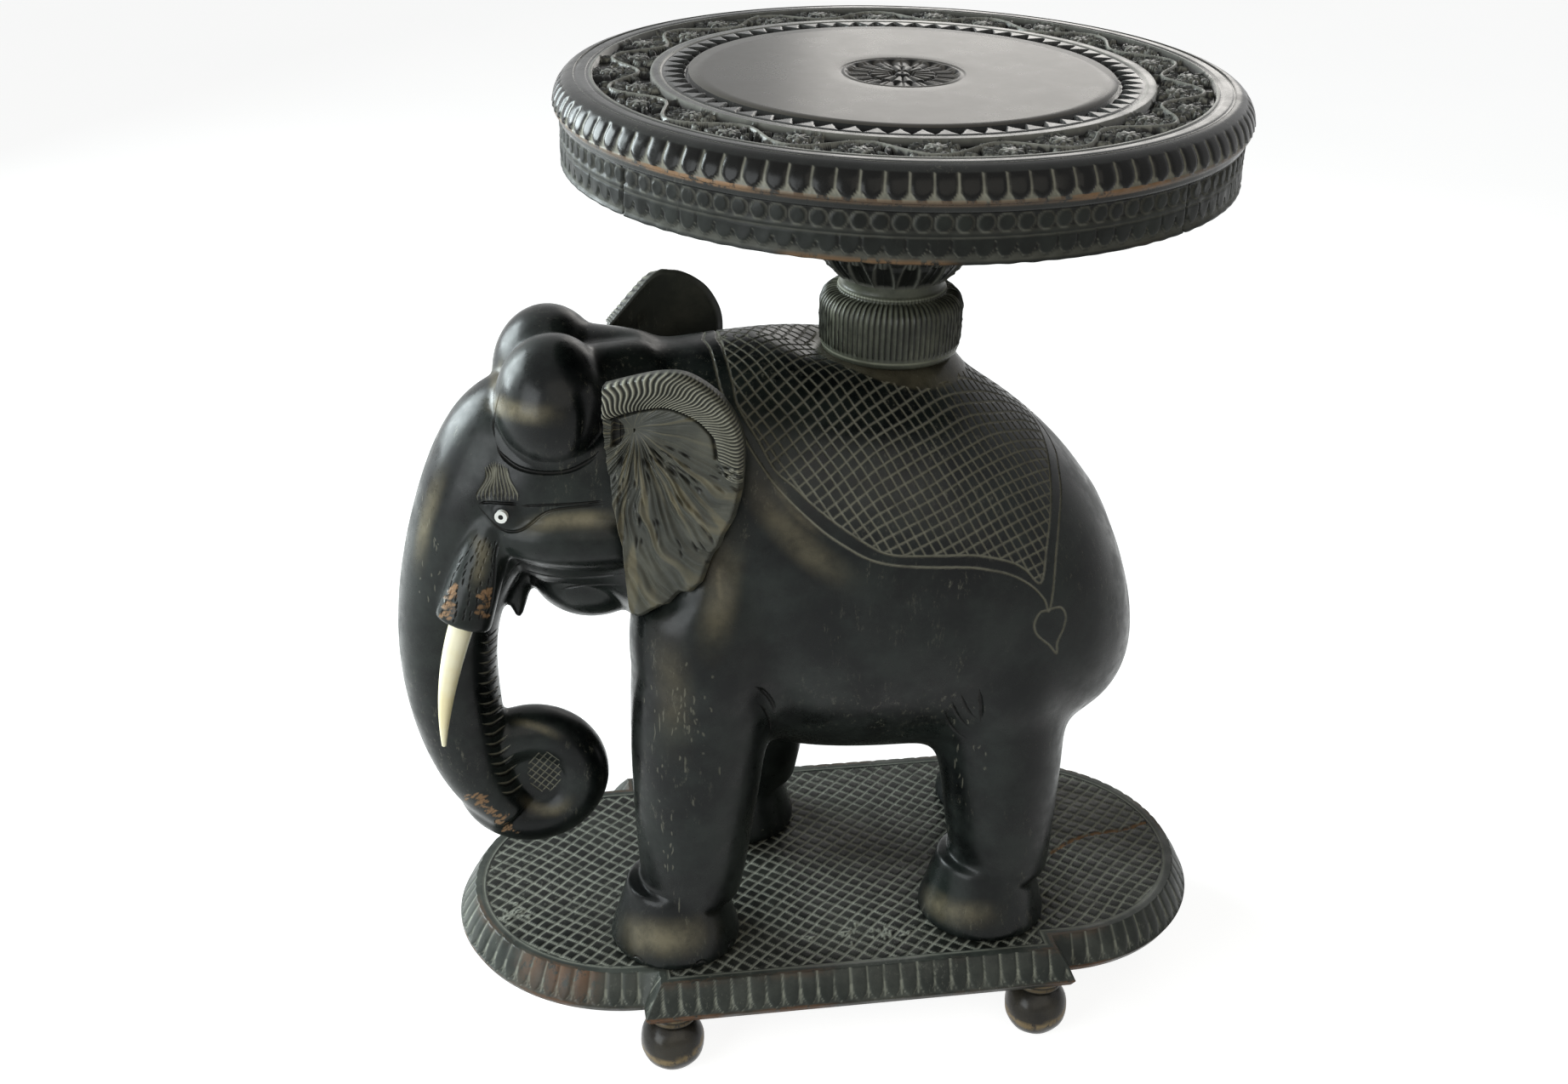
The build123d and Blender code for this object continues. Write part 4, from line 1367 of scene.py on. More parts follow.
def pedestal(woods):
    turns = np.pi / 2 * np.arange(1, 9) / 8
    corners = [(0.05, 380.1, 0), (34.6, 380.1, 2), (35.2, 382.0, 2), (35.6, 386.0, 4), (36.0, 403.0, 14)]
    corners += [(28.0 + 8 * np.cos(turn), 403 + 8.2 * np.sin(turn), 2) for turn in turns]
    corners += [(27.4, 412.0, 1), (27.6, 413.4, 2), (26.3, 414.6, 2), (26.0, 417.0, 3),
                (26.6, 419.9, 3), (0.05, 419.9, 2)]
    drum = lathe("pedestal_reeding", corners, REEDS * 9, pedestal_relief,
                 pedestal_masks)
    dress(drum, woods["drum"])
    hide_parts("pedestal")
    corners = [(0.05, CUP_Z, 0), (27.4, CUP_Z, 2)] + arc_corners((27.9, CUP_Z), (49.6, 467.8), 5.5, 44)
    corners += [(40.2, 467.8, 2), (40.2, 500.8, 4), (0.05, 500.8, 2)]
    cup = lathe("leaf_carving", corners, CUP_LEAVES * 28, cup_relief, cup_masks)
    dress(cup, woods["apron"])
    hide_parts("leaf_cup")


# ---------------------------------------------------------------- base board
END_R = 96.0
END_X = 119.0
FRONT_HALF = 119.0
FRONT_Y = 108.0
BASE_LOW = 38.5
BAND_TOP = 42.5
EDGE_INSET = 9.0
EDGE_HIGH = 16.0
EDGE_PITCH = 9.35
OUTLINE_STEP = 0.85
# Insets of the groove in the plain border, and of the start of the crossed grooves.
GROOVE_INSET = 14.0
HATCH_INSET = 14.6
# Share given to the rows of the plain border; rows of the slope have 0..1, all others 0.
PLAIN_BORDER = 2.0
# Pixels of the places on the board's edge where the stain has gone.
STRIPPED = [(622, 1130), (650, 1144), (680, 1154)]
STRIPPED_SIZE = 9.0
# Where the bare strip of the band under the front edge ends; it starts at the front corner.
BAND_STRIP_END = -72.0
# Pixels of the two splashes of glue and of the crack at the rear end of the board.
GLUE = [((600, 1076), (26, 10), 10), ((1002, 1097), (56, 12), 14)]
CRACK = [(1372, 968), (1345, 966), (1322, 974), (1290, 978), (1262, 986), (1236, 1001)]


def on_face(pixels):
    """Flat places on the board's face that are seen at pixels."""
    aim = rays(pixels)
    return (EYE + aim * ((STAND_Z - EYE[2]) / aim[:, 2])[:, None])[:, :2]


def cut_line(a, b, step):
    """Points of a straight line from a towards b, without its end."""
    a, b = np.array(a), np.array(b)
    cuts = max(int(np.linalg.norm(b - a) / step), 2)
    return [a + (b - a) * i / cuts for i in range(cuts)]


def outline_points(step):
    """Outline of the board anticlockwise: its front, a round end, and both again."""
    half = cut_line((-FRONT_HALF, -FRONT_Y), (FRONT_HALF, -FRONT_Y), step)
    half += cut_line((FRONT_HALF, -FRONT_Y), (FRONT_HALF, -END_R), step)
    cuts = int(np.pi * END_R / step)
    for turn in -np.pi / 2 + np.pi * np.arange(cuts) / cuts:
        half.append(np.array([END_X + END_R * np.cos(turn), END_R * np.sin(turn)]))
    half = np.array(half + cut_line((FRONT_HALF, END_R), (FRONT_HALF, FRONT_Y), step))
    return np.concatenate([half, -half])


class Outline:
    """Points round the board, with what its edge needs at each of them."""

    def __init__(self):
        self.points = points = outline_points(OUTLINE_STEP)
        following = np.roll(points, -1, axis=0) - points
        length = np.linalg.norm(following, axis=1)
        tangent = following / length[:, None]
        n1 = np.stack([tangent[:, 1], -tangent[:, 0]], 1)
        n0 = np.roll(n1, 1, axis=0)
        mitre = n0 + n1
        mitre /= np.maximum((mitre * n1).sum(1), 0.3)[:, None]
        # The break front keeps its shape inwards: its long edge shortens as its ends draw in.
        front = np.abs(np.abs(points[:, 1]) - FRONT_Y) < 1e-6
        ends = ~front & (np.abs(np.abs(points[:, 0]) - FRONT_HALF) < 1e-6)
        way = np.sign(points)
        mitre[front] = np.stack([points[front, 0] / FRONT_HALF, way[front, 1]], 1)
        mitre[ends] = way[ends]
        self.mitre = mitre
        # How far a step along the mitre moves along the edge.
        self.skew = (mitre * tangent).sum(1)
        self.arc = np.concatenate([[0], np.cumsum(length)[:-1]])
        corners = self.arc[(n0 * n1).sum(1) < 0.8]
        self.plain = np.abs(self.arc[:, None] - corners).min(1) < 1.6
        self.rubs_and_sheen = np.clip(np.sin(self.arc / 31.0) + np.sin(self.arc / 13.0 + 1) * 0.8, 0, 1)
        gaps = [((points - spot) ** 2).sum(1) for spot in on_face(STRIPPED)]
        self.stripped = np.exp(-np.min(gaps, axis=0) / STRIPPED_SIZE**2)
        self.strip = (points[:, 1] < 1 - FRONT_Y) * ramp(BAND_STRIP_END - points[:, 0], 0, 12)


def edge_rows():
    """Rows of the edge, from its lower inner rim round the outside: offset, height, share."""
    rows = [(-2.0, BASE_LOW, 0), (0.0, BAND_TOP - 0.3, 0), (0.0, BAND_TOP, 0)]
    for share in np.arange(21) / 20:
        swell = 0.9 * np.sin(np.pi * share)
        rows.append((-EDGE_INSET * share + swell * 0.6, BAND_TOP + EDGE_HIGH * share, share))
    rows += [(-inset, STAND_Z, PLAIN_BORDER) for inset in (9.6, 10.2, 10.8, 11.6, 12.6, 13.6, 14.2, 15.0)]
    return rows + [(-16.0, STAND_Z - 1.5, PLAIN_BORDER), (-16.0, 50.0, 0), (-16.0, 40.0, 0),
                   (-10.0, BASE_LOW, 0)]


def edge_tongues(outline, offset, share):
    """Tongues of the sloped edge; share runs from its foot (0) to its top (1)."""
    place = (outline.arc + offset * outline.skew) / EDGE_PITCH
    number = np.floor(place)
    forms = tongue_form(place - number - 0.5 + shake(number, 6, 0.04), 1.02 - share)
    return [np.where(outline.plain, 0, form) for form in forms]


def edge_row(outline, offset, height, share):
    """Points of one row of the edge, and its dark, line and bare shares."""
    depth = dark = line = np.zeros(len(outline.points))
    if share == PLAIN_BORDER:
        groove = bell(-offset - GROOVE_INSET, 0.4)
        line = line + 0.8 * groove
        height = height - 0.5 * groove
        bare = (offset > -11) * outline.rubs_and_sheen * 0.35
    elif share == 0:
        bare = (height < 43) * np.maximum(0.1 + 0.7 * outline.rubs_and_sheen, outline.strip) * (offset > -3)
    else:
        body, spindle, rim = edge_tongues(outline, offset, share)
        depth = ramp(share, 0.02, 0.1) * (1.0 - 0.95 * body - 0.35 * spindle) * ~outline.plain
        line = np.clip(0.75 * spindle + 0.6 * rim, 0, 1)
        dark = 0.2 * body
        bare = np.maximum(ramp(share, 0.75, 1.0) * outline.rubs_and_sheen * 0.22,
                          outline.stripped * (0.25 + 0.6 * share))
    spots = outline.points + outline.mitre * (offset - depth)[:, None]
    return np.concatenate([spots, np.full((len(spots), 1), height)], 1), dark, line, bare


def base_edge():
    outline = Outline()
    rows = [edge_row(outline, *row) for row in edge_rows()]
    points, dark, line, bare = (np.concatenate(part) for part in zip(*rows))
    faces = grid_faces(len(rows), len(outline.points), True, True)
    return mesh_object("base_edge", points, faces,
                       {"dark": dark, "line": line, "bare": bare})


def base_hatch(x, y):
    """Crossed grooves of the board's face."""
    points = np.stack([x, y], -1)
    first = x * np.cos(0.86) + y * np.sin(0.86) + 0.7 * wobble(points, 55, 31)
    second = -x * np.sin(0.80) + y * np.cos(0.80) + 0.7 * wobble(points, 48, 32)
    share = np.zeros_like(x)
    for place, step, seed in ((first, 7.1, 1), (second, 6.9, 2)):
        row = np.round(place / step)
        gap = np.abs(place - row * step - shake(row, seed, 0.35))
        share = np.maximum(share, cut_form(gap, 0.8))
    return share


def base_marks(x, y):
    """Pale threads of glue, and the crack, as shares on the board's face."""
    draw = np.random.default_rng(17)
    flat = np.stack([x, y], -1)
    glue = np.zeros_like(x)
    for middle, spread_out, count in GLUE:
        for _ in range(count):
            start = np.array(middle) + draw.normal(0, 0.5, 2) * spread_out
            turns = [start + draw.normal(0, 5.0, 2) * (1, 0.6) for _ in range(3)]
            path = smooth_path(on_face([start] + turns), 3)
            near = np.hypot(x - path[0, 0], y - path[0, 1]) < 14
            gap, _ = path_distance(flat[near], path)
            glue[near] = np.maximum(glue[near], cut_form(gap, 0.6))
    gap, _ = path_distance(flat.reshape(-1, 2), smooth_path(on_face(CRACK), 4))
    return glue, np.clip(1.6 - gap.reshape(x.shape) ** 2, 0, 1)


def base_face():
    """A fine sheet with the crossed grooves, its rim tucked under the plain border."""
    x, y = np.meshgrid(np.arange(-216, 216.1, 1.0), np.arange(-109, 109.1, 1.0), indexing="ij")
    slot_gap = END_R - np.hypot(x - np.clip(x, -END_X, END_X), y)
    front_gap = np.minimum(FRONT_HALF - np.abs(x), FRONT_Y - np.abs(y))
    inset = np.maximum(slot_gap, front_gap)
    open_face = inset > HATCH_INSET
    groove = base_hatch(x, y)
    glue, crack = base_marks(x, y)
    height = STAND_Z - 0.25 - 0.75 * groove * ramp(inset, HATCH_INSET, HATCH_INSET + 1)
    height -= 2.0 * (inset < 14.2)
    height += 0.12 * wobble(np.stack([x, y], -1), 20, 40) + (0.4 * glue - 0.8 * crack) * open_face
    faces = grid_faces(*x.shape, False, False)
    faces = faces[(inset > 13.4).ravel()[faces].all(1)]
    used, renumbered = np.unique(faces, return_inverse=True)
    points = np.stack([x, y, height], -1).reshape(-1, 3)[used]
    masks = {"hatch": groove * open_face, "line": glue, "bare": crack}
    return mesh_object("base_face", points, renumbered.reshape(faces.shape),
                       {name: mask.ravel()[used] for name, mask in masks.items()})


def base_underside():
    """Plain closed plate inside the edge's lower rim."""
    inner = outline_points(3.0) * 0.835
    rings = [(0.02, BASE_LOW + 0.2), (1.0, BASE_LOW + 0.2), (1.0, 50.0), (0.02, 50.0)]
    points = [np.concatenate([inner * size, np.full((len(inner), 1), z)], 1) for size, z in rings]
    return mesh_object("base_underside", np.concatenate(points), grid_faces(4, len(inner), True, True))


def base(woods):
    for make, wood_name in ((base_edge, "base_edge"), (base_face, "base_face"), (base_underside, "plain")):
        piece = make()
        dress(piece, woods[wood_name])
        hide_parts("base_board")


# ---------------------------------------------------------------- bun feet
FOOT_X, FOOT_Y = 103.0, 91.0
BALL_R, BALL_HALF = 17.5, 15.5


def foot_relief(r, z, a):
    flat = np.stack([r * np.cos(a), r * np.sin(a), z], -1)
    return 0.25 * wobble(flat, 9, 50) * (z < 29) * ramp(z, 0, 3)


def foot_masks(r, z, a):
    band = cut_form(z - 17 - 6 * np.sin(a + 0.6), 2.6)
    rings = bell(z - 31.0, 0.5) + bell(z - 34.8, 0.5)
    edge = bell(z - 37.0, 0.9) + 0.7 * bell(z - 33.0, 0.8)
    return {"bare": np.clip(band * 0.9 + edge * 0.5, 0, 1), "dark": np.clip(rings, 0, 1) * 0.7}


def feet(woods):
    """Ball, neck and collar of each turned foot; its underside runs up inside it as a cone."""
    corners = [(8.0, 0.0, 0), (7.0, 0.0, 1), (9.5, 0.6, 2)]
    for turn in -1.05 + 2.25 * np.arange(1, 17) / 16:
        radius = BALL_R * np.cos(turn * 0.98) ** 0.85
        corners.append((radius, BALL_HALF + BALL_HALF * np.sin(turn) / np.sin(1.2), 1))
    corners += [(11.0, 30.2, 1), (12.6, 31.2, 2), (13.0, 32.6, 2), (12.2, 34.0, 2), (11.6, 34.6, 1),
                (13.6, 35.4, 2), (14.0, 37.0, 2), (13.4, 38.6, 2), (0.05, 38.6, 2)]
    for end, x in (("front", -FOOT_X), ("rear", FOOT_X)):
        for side, y in (("left", -FOOT_Y), ("right", FOOT_Y)):
            foot = lathe(f"turned_foot_{end}_{side}", corners, 64, foot_relief,
                         foot_masks, centre=(x, y))
            dress(foot, woods["foot"])
            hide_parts(f"bun_foot_{end}_{side}")


# ---------------------------------------------------------------- ears
EAR_FRONT = {-1: -130.0, 1: -119.0}
EAR_Y = 58.0
EAR_FLARE = np.radians(20.0)
EAR_THICK = 9.0
EAR_TURNS, EAR_RINGS = 960, 104
# Outline of the fan and inner edge of its scrolled rim, as pixels of the near ear.
EAR_OUTLINE = [
    (706, 457), (738, 449), (770, 443), (798, 443.5), (822, 454), (845, 472), (861, 494), (871, 518),
    (872.5, 545), (869, 585), (859, 619), (840, 655), (826, 684), (812, 704), (798, 705), (790, 710),
    (778, 718), (758, 730), (744, 731), (738, 719), (733, 671), (727, 639), (719, 600), (710, 545),
    (706, 500),
]
# The right ear is cut away at the top of its front edge: one corner in place of the first two.
RIGHT_EAR_TOP = (716, 486)
EAR_RIM_INNER = [
    (712, 495), (738, 487), (758, 483), (778, 481), (798, 486), (818, 496), (831, 508), (839.5, 520),
    (843, 542), (841, 556), (856, 561), (874, 556),
]
EAR_ROOT_PIXEL = (742, 509)
EAR_PIT = [(717, 494), (724, 495), (730, 502), (732, 512), (728, 523), (722, 528), (716, 528)]
RIM_FLUTES = 56
DASHES = 120
# Shares of the fan's reach where the ear's inner face has its points.
BACK_SHARES = np.array([1.0, 0.9, 0.7, 0.4, 0.015])[:, None]


def ear_axes(side):
    """Origin, direction backwards, and outward direction of an ear's flat."""
    along = np.array([np.cos(EAR_FLARE), side * np.sin(EAR_FLARE), 0])
    out = np.array([-np.sin(EAR_FLARE), side * np.cos(EAR_FLARE), 0])
    return np.array([EAR_FRONT[side], side * EAR_Y, STAND_Z]), along, out


def ear_point(flat, lift, side):
    """Point of an ear from its flat place and its height over the inner face."""
    origin, along, out = ear_axes(side)
    return origin + flat[..., :1] * along + flat[..., 1:] * (0, 0, 1) + lift[..., None] * out


def ear_flat(pixels):
    """Flat place on the near ear's outer face that is seen at pixels."""
    origin, along, out = ear_axes(-1)
    aim = rays(pixels)
    reach = ((origin + EAR_THICK * out - EYE) @ out) / (aim @ out)
    place = EYE + reach[:, None] * aim - origin
    return np.stack([place @ along, place[:, 2]], -1)


def polar(outline, root, turn):
    """Reach of an outline from a root at each angle, 0 where it isn't met; the angles unwrapped."""
    gap = outline - root
    direction = np.unwrap(np.arctan2(gap[:, 1], gap[:, 0]))
    reach = np.linalg.norm(gap, axis=1)
    order = np.argsort(direction)
    direction, reach = direction[order], reach[order]
    middle = (direction[0] + direction[-1]) / 2
    turn = (turn - middle + np.pi) % TURN - np.pi + middle
    met = (turn >= direction[0]) & (turn <= direction[-1])
    return np.where(met, np.interp(turn, direction, reach), 0), turn


class EarFan:
    """Points round the root over an ear's outer face, and where its scrolled rim lies on them."""

    def __init__(self, side):
        self.root = root = ear_flat([EAR_ROOT_PIXEL])[0]
        corners = EAR_OUTLINE if side < 0 else [RIGHT_EAR_TOP] + EAR_OUTLINE[2:]
        outline = smooth_path(ear_flat(corners + corners[:1]), 12)
        inner = smooth_path(ear_flat(EAR_RIM_INNER), 12)
        self.turn = t = np.linspace(0, TURN, EAR_TURNS, endpoint=False)
        edge, _ = polar(outline, root, t)
        # Ends of the lower folds show as small lobes in the outline.
        low = ramp(-np.sin(t), 0.45, 0.9)
        self.edge = edge * (1 - 0.02 * low * np.abs(np.sin(t * 14 + 0.5)))
        rim_edge, seen = polar(inner, root, t)
        self.on_rim = (rim_edge > 0) & (rim_edge < self.edge)
        self.share = np.linspace(0.015, 1, EAR_RINGS)[:, None] * np.ones((1, EAR_TURNS))
        self.reach = self.share * self.edge
        self.flat = self.places(self.share)
        self.over = self.reach - np.where(self.on_rim, rim_edge, 1e3)
        self.rim = ramp(self.over, -0.5, 0.6)
        self.rim_round = dome(2 * self.over / np.maximum(self.edge - rim_edge, 1.0) - 1)
        # Place along the rim, from its front end round to its lower end.
        step = np.concatenate([[0], np.cumsum(np.linalg.norm(np.diff(inner, axis=0), axis=1))])
        rim_turn = np.unwrap(np.arctan2(*(inner - root).T[::-1]))
        order = np.argsort(rim_turn)
        self.along_rim = np.interp(seen, rim_turn[order], (step / step[-1])[order])

    def places(self, share):
        """Flat places at shares of the reach, at every angle."""
        way = np.stack([np.cos(self.turn), np.sin(self.turn)], -1)
        return self.root + (share * self.edge)[..., None] * way

    def flutes(self):
        """1 on the crests of the rim's flutes, 0 in the grooves between them."""
        over, along = self.over, self.along_rim
        wave = along * RIM_FLUTES + 0.45 * np.sin(over * 0.42 + 0.6)
        wave += 0.045 * over * (along - 0.35) * 4
        return np.abs((wave % 1) - 0.5) * 2

    def folds(self):
        """Folds of the fan and fine ones on them, strong and close below, shallow behind."""
        bend = 0.25 * np.sin(self.reach / 26.0) + 0.03 * wobble(self.flat, 18, 61)
        turn = self.turn + bend
        fold = np.sin(turn * 15) * 0.7 + 0.4 * np.sin(turn * 37 + 1.7)
        return fold, wobble(np.stack([turn * 26, self.reach / 26], -1), 1.0, 62)


def ear_dashes(u, v, root):
    """Short cuts that run outwards from the root of the fan."""
    draw = np.random.default_rng(5)
    dash = np.zeros_like(u)
    for _ in range(DASHES):
        way = draw.uniform(-1.95, 0.75)
        far = draw.uniform(14, 78)
        middle = root + far * np.array([np.cos(way), np.sin(way)])
        if way > -0.4 and draw.uniform() < 0.6:
            continue
        lean = way + draw.uniform(-0.12, 0.12)
        long, wide = draw.uniform(2.4, 4.6), draw.uniform(0.6, 0.95)
        du, dv = u - middle[0], v - middle[1]
        along = du * np.cos(lean) + dv * np.sin(lean)
        across = -du * np.sin(lean) + dv * np.cos(lean)
        dash = np.maximum(dash, cut_form(along, long) * cut_form(across, wide))
    return dash


def ear_carving(fan, side):
    """Height of the outer face over the inner one, and its masks."""
    r, share, rim = fan.reach, fan.share, fan.rim
    u, v = fan.flat[..., 0], fan.flat[..., 1]
    fold, fine = fan.folds()
    flute = fan.flutes()
    pit = ear_flat(EAR_PIT)
    in_pit = in_polygon(u, v, pit)
    down = ramp(-np.sin(fan.turn + 0.25), -0.2, 0.75)
    # The folds fade out towards the root, and stop at the rim.
    open_fan = ramp(r, 3, 16) * (1 - rim)
    valley = bell(fan.over + 1.0, 0.9) * fan.on_rim
    dash = ear_dashes(u, v, fan.root) * (1 - rim) * (r > 10)
    lift = EAR_THICK - 2.4 + open_fan * (0.35 + 0.85 * down) * (fold + 0.35 * fine)
    lift += 1.6 * ramp(r, 20, 70) * (1 - rim)
    lift += rim * (1.2 + 2.2 * fan.rim_round - (1 - flute) ** 1.2)
    lift -= 1.8 * valley + 0.9 * dash
    lift = np.where(in_pit, EAR_THICK - 6.4, lift)
    lift -= 2.2 * bell(r, 7.0) * (u > pit[:, 0].max() - 3)
    lift *= 1 - 0.5 * ramp(share, 0.965, 1.0) * (1 - 0.6 * fan.on_rim)
    # The right ear's edge is plain, as far as the picture shows it.
    plain = ramp(share, 0.9, 0.97) * (side > 0)
    lift *= 1 - 0.6 * plain
    groove = rim * np.clip(1 - flute * 2.0, 0, 1)
    crease = 0.7 * np.clip(-fold - 0.75, 0, 1) * open_fan * down
    # Paler tan on the lower fan and on the crests of the folds, in the mask that also carries painted sheen.
    patch = ramp(wobble(np.stack([fan.turn * np.ones_like(r) * 9, r / 40], -1), 1.0, 66), 0.25, 0.9)
    rubbed_and_sheen = patch * open_fan * down * 0.75 + 0.5 * ramp(fold, 0.5, 1) * (1 - rim)
    deep = np.max([valley, dash, groove * 0.95, in_pit * 0.9], axis=0)
    masks = {
        "dark": np.clip(deep + crease, 0, 1),
        "line": rim * np.clip(flute * 1.7 - 0.75, 0, 1) * (1 - plain),
        "worn": np.clip(rubbed_and_sheen, 0, 0.85),
    }
    return lift, masks


def ear(side, woods):
    fan = EarFan(side)
    lift, masks = ear_carving(fan, side)
    front = ear_point(fan.flat, np.clip(lift, 1.2, EAR_THICK + 1.5), side)
    bulge = 0.2 + 2.0 * BACK_SHARES * (1 - BACK_SHARES) * np.ones(EAR_TURNS)
    back = ear_point(fan.places(BACK_SHARES), bulge, side)
    points = np.concatenate([front.reshape(-1, 3), back.reshape(-1, 3)])
    faces = grid_faces(EAR_RINGS + len(BACK_SHARES), EAR_TURNS, True, True)
    if side > 0:
        faces = faces[:, ::-1]
    unmarked = np.zeros(bulge.size)
    values = {key: np.concatenate([mask.ravel(), unmarked]) for key, mask in masks.items()}
    name = "left" if side < 0 else "right"
    piece = mesh_object(f"ear_carving_{name}", points, faces, values)
    dress(piece, woods["ear"])
    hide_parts(f"ear_{name}")


# ---------------------------------------------------------------- studio
FLOOR_REACH = 8.0
FLOOR_DARK, FLOOR_PALE = (0.42, 0.43, 0.42), (0.46, 0.46, 0.45)
FLOOR_GLOW = 0.88
ROOM_COLOUR, ROOM_LIGHT = (0.88, 0.97, 0.94), 0.07
# Name, place and aim in millimetres, size in metres, power and colour.
LAMPS = [
    ("window", (-1240, 800, 760), (-60, 0, 320), (0.8, 0.8), 36, (0.88, 0.98, 1.0)),
    ("fill", (-1200, -700, 620), (-60, 0, 280), (0.9, 0.9), 13, (0.93, 0.98, 1.0)),
    ("front", (250, -1600, 1300), (0, 0, 220), (2.0, 1.4), 9, (1.0, 0.94, 0.82)),
    ("back", (640, 1500, 880), (60, 0, 520), (0.8, 0.5), 2.4, (1.0, 0.96, 0.9)),
]


def area_light(name, place, aim, size, power, colour):
    data = bpy.data.lights.new(name, "AREA")
    data.shape = "RECTANGLE"
    data.size, data.size_y = size
    data.energy = power
    data.color = colour
    lamp = bpy.data.objects.new(name, data)
    bpy.context.scene.collection.objects.link(lamp)
    place, aim = Vector(to_frame(place)), Vector(to_frame(aim))
    lamp.location = place
    lamp.rotation_euler = (aim - place).to_track_quat("-Z", "Y").to_euler()


def background_ray(tree):
    """1 for rays that show the background: of the camera, of gloss and through clear things."""
    path = tree.nodes.new("ShaderNodeLightPath")
    seen = math_node(tree, "MAXIMUM", path.outputs["Is Camera Ray"], path.outputs["Is Glossy Ray"])
    return math_node(tree, "MAXIMUM", seen, path.outputs["Is Transmission Ray"])


def pale_floor():
    """Matt grey in its own light; white to the rays that show the background."""
    material = bpy.data.materials.new("pale_floor")
    material.use_nodes = True
    tree = material.node_tree
    shader = tree.nodes["Principled BSDF"]
    shader.inputs["Roughness"].default_value = 0.9
    shader.inputs["Specular IOR Level"].default_value = 0.1
    shader.inputs["Emission Color"].default_value = (1, 1, 1, 1)
    pale = socket_mix(tree, spread(tree, noise(tree, 3, 2), 0.3, 0.7), FLOOR_DARK, FLOOR_PALE)
    tree.links.new(pale, shader.inputs["Base Color"])
    glow = math_node(tree, "MULTIPLY", background_ray(tree), FLOOR_GLOW)
    tree.links.new(glow, shader.inputs["Emission Strength"])
    return material


def make_floor():
    mesh = bpy.data.meshes.new("floor")
    far = FLOOR_REACH
    mesh.from_pydata([(-far, -far, 0), (far, -far, 0), (far, far, 0), (-far, far, 0)], [], [(0, 1, 2, 3)])
    mesh.materials.append(pale_floor())
    ground = bpy.data.objects.new("floor", mesh)
    bpy.context.scene.collection.objects.link(ground)


def make_world():
    world = bpy.data.worlds.new("world")
    bpy.context.scene.world = world
    world.use_nodes = True
    nodes, links = world.node_tree.nodes, world.node_tree.links
    room = nodes["Background"]
    room.inputs["Color"].default_value = (*ROOM_COLOUR, 1)
    room.inputs["Strength"].default_value = ROOM_LIGHT
    white = nodes.new("ShaderNodeBackground")
    white.inputs["Strength"].default_value = 1.0
    mixer = nodes.new("ShaderNodeMixShader")
    links.new(background_ray(world.node_tree), mixer.inputs[0])
    links.new(room.outputs[0], mixer.inputs[1])
    links.new(white.outputs[0], mixer.inputs[2])
    links.new(mixer.outputs[0], nodes["World Output"].inputs["Surface"])


def studio():
    make_floor()
    make_world()
    for lamp in LAMPS:
        area_light(*lamp)
    bpy.context.scene.view_settings.view_transform = "Standard"


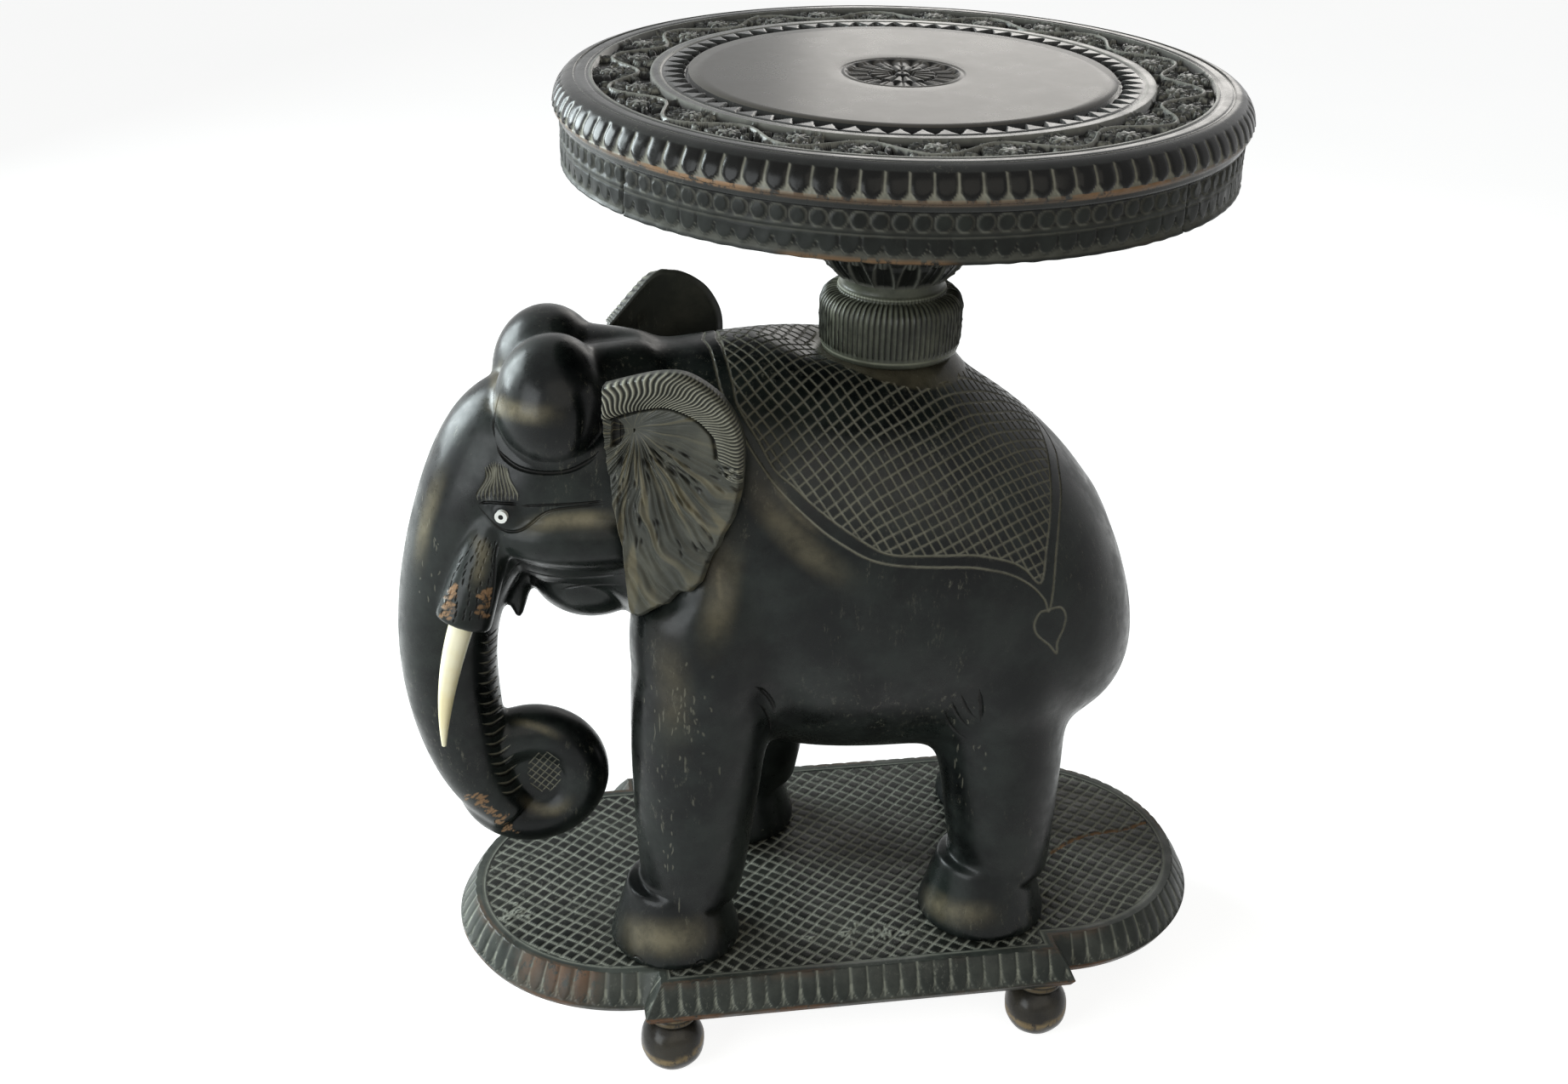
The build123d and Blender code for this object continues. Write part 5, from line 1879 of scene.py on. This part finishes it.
# ---------------------------------------------------------------- build
def make_woods():
    """Each: the stain where darkest and palest, the light in carved lines, the bare wood."""
    return {
        "body": wood("body_ebony", (0.002, 0.003, 0.003), (0.014, 0.018, 0.016), (0.19, 0.185, 0.145),
                     RED_WOOD, (0.22, 0.46), 0.35),
        # The disc's stain is much paler than the other ebony: it paints part of the polished disc's pale
        # sheen into its colour.
        "disc": wood("disc_ebony_painted_sheen", (0.066, 0.06, 0.051), (0.07, 0.064, 0.054), (0.1, 0.09, 0.08),
                     RED_WOOD, (0.27, 0.3), 0.2, grain=0.01, specks=0.0, scuffs=0.0),
        "top": wood("top_ebony", (0.014, 0.016, 0.015), (0.04, 0.043, 0.04), (0.34, 0.34, 0.3),
                    RED_WOOD, (0.16, 0.34), 0.8),
        "edge": wood("edge_ebony", (0.008, 0.009, 0.008), (0.02, 0.022, 0.02), (0.24, 0.235, 0.19),
                     RED_WOOD, (0.16, 0.34), 0.6),
        "apron": wood("apron_ebony", (0.005, 0.006, 0.005), (0.017, 0.02, 0.017), (0.14, 0.14, 0.12),
                      RED_WOOD, (0.34, 0.55), 0.08),
        "drum": wood("drum_ebony", (0.045, 0.048, 0.036), (0.11, 0.115, 0.085), (0.34, 0.35, 0.27),
                     RED_WOOD),
        "base_face": wood("base_face_ebony", (0.006, 0.007, 0.006), (0.024, 0.026, 0.022),
                          (0.32, 0.33, 0.28), RED_WOOD, (0.34, 0.55), 0.1),
        "base_edge": wood("base_edge_ebony", (0.03, 0.035, 0.031), (0.07, 0.077, 0.067),
                          (0.3, 0.31, 0.26), (0.2, 0.11, 0.065), (0.28, 0.5), 0.2),
        "foot": wood("foot_ebony", (0.012, 0.011, 0.009), (0.04, 0.035, 0.026), (0.12, 0.1, 0.07),
                     (0.45, 0.33, 0.17), (0.18, 0.36), 0.5),
        "ear": wood("ear_ebony", (0.045, 0.047, 0.04), (0.085, 0.085, 0.068), (0.4, 0.39, 0.31),
                    RED_WOOD, (0.32, 0.5), rubbed_and_sheen_to=(0.17, 0.15, 0.095)),
        "bone": wood("bone", (0.95, 0.84, 0.52), (1.0, 0.94, 0.7), (0.55, 0.4, 0.2), (0.6, 0.5, 0.3),
                     (0.28, 0.4), specks=0.35, scuffs=0.3),
        "eye": wood("eye_bone", (0.86, 0.87, 0.84), (0.92, 0.92, 0.9), (0.7, 0.68, 0.6),
                    (0.8, 0.8, 0.75), (0.2, 0.3), specks=0.05, scuffs=0.0),
        "horn": wood("horn", (0.006, 0.006, 0.006), (0.012, 0.011, 0.01), (0.02, 0.02, 0.018),
                     (0.1, 0.08, 0.05), (0.12, 0.2)),
        "dowel": wood("dowel", (0.3, 0.2, 0.12), (0.38, 0.27, 0.17), (0.2, 0.13, 0.08),
                      (0.4, 0.3, 0.2), (0.5, 0.7), coat=0.0),
        "plain": wood("plain_ebony", (0.012, 0.012, 0.011), (0.03, 0.028, 0.024), (0.1, 0.1, 0.08),
                      RED_WOOD),
    }


def animal(woods):
    volume = elephant_volume()
    carving = Carving()
    outline = cloth_lines(volume, carving)
    animal_lines(volume, carving)
    dress(elephant_body(volume, carving, outline), woods["body"])


# Woods of the CAD pieces, by the start of their names; the others are plain.
CAD_WOODS = {"tusk": "bone", "eye_white": "eye", "eye_pupil": "horn", "leg_dowels": "dowel"}


def dress_cad(woods):
    """Materials of the CAD pieces; the elephant's body has its own."""
    for name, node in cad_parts.items():
        if name != "elephant_body":
            found = [wood_name for start, wood_name in CAD_WOODS.items() if name.startswith(start)]
            dress(node, woods[found[0] if found else "plain"])


make_camera()
studio()
WOODS = make_woods()
animal(WOODS)
seat(WOODS)
apron(WOODS)
pedestal(WOODS)
base(WOODS)
feet(WOODS)
for side in (-1, 1):
    ear(side, WOODS)
dress_cad(WOODS)
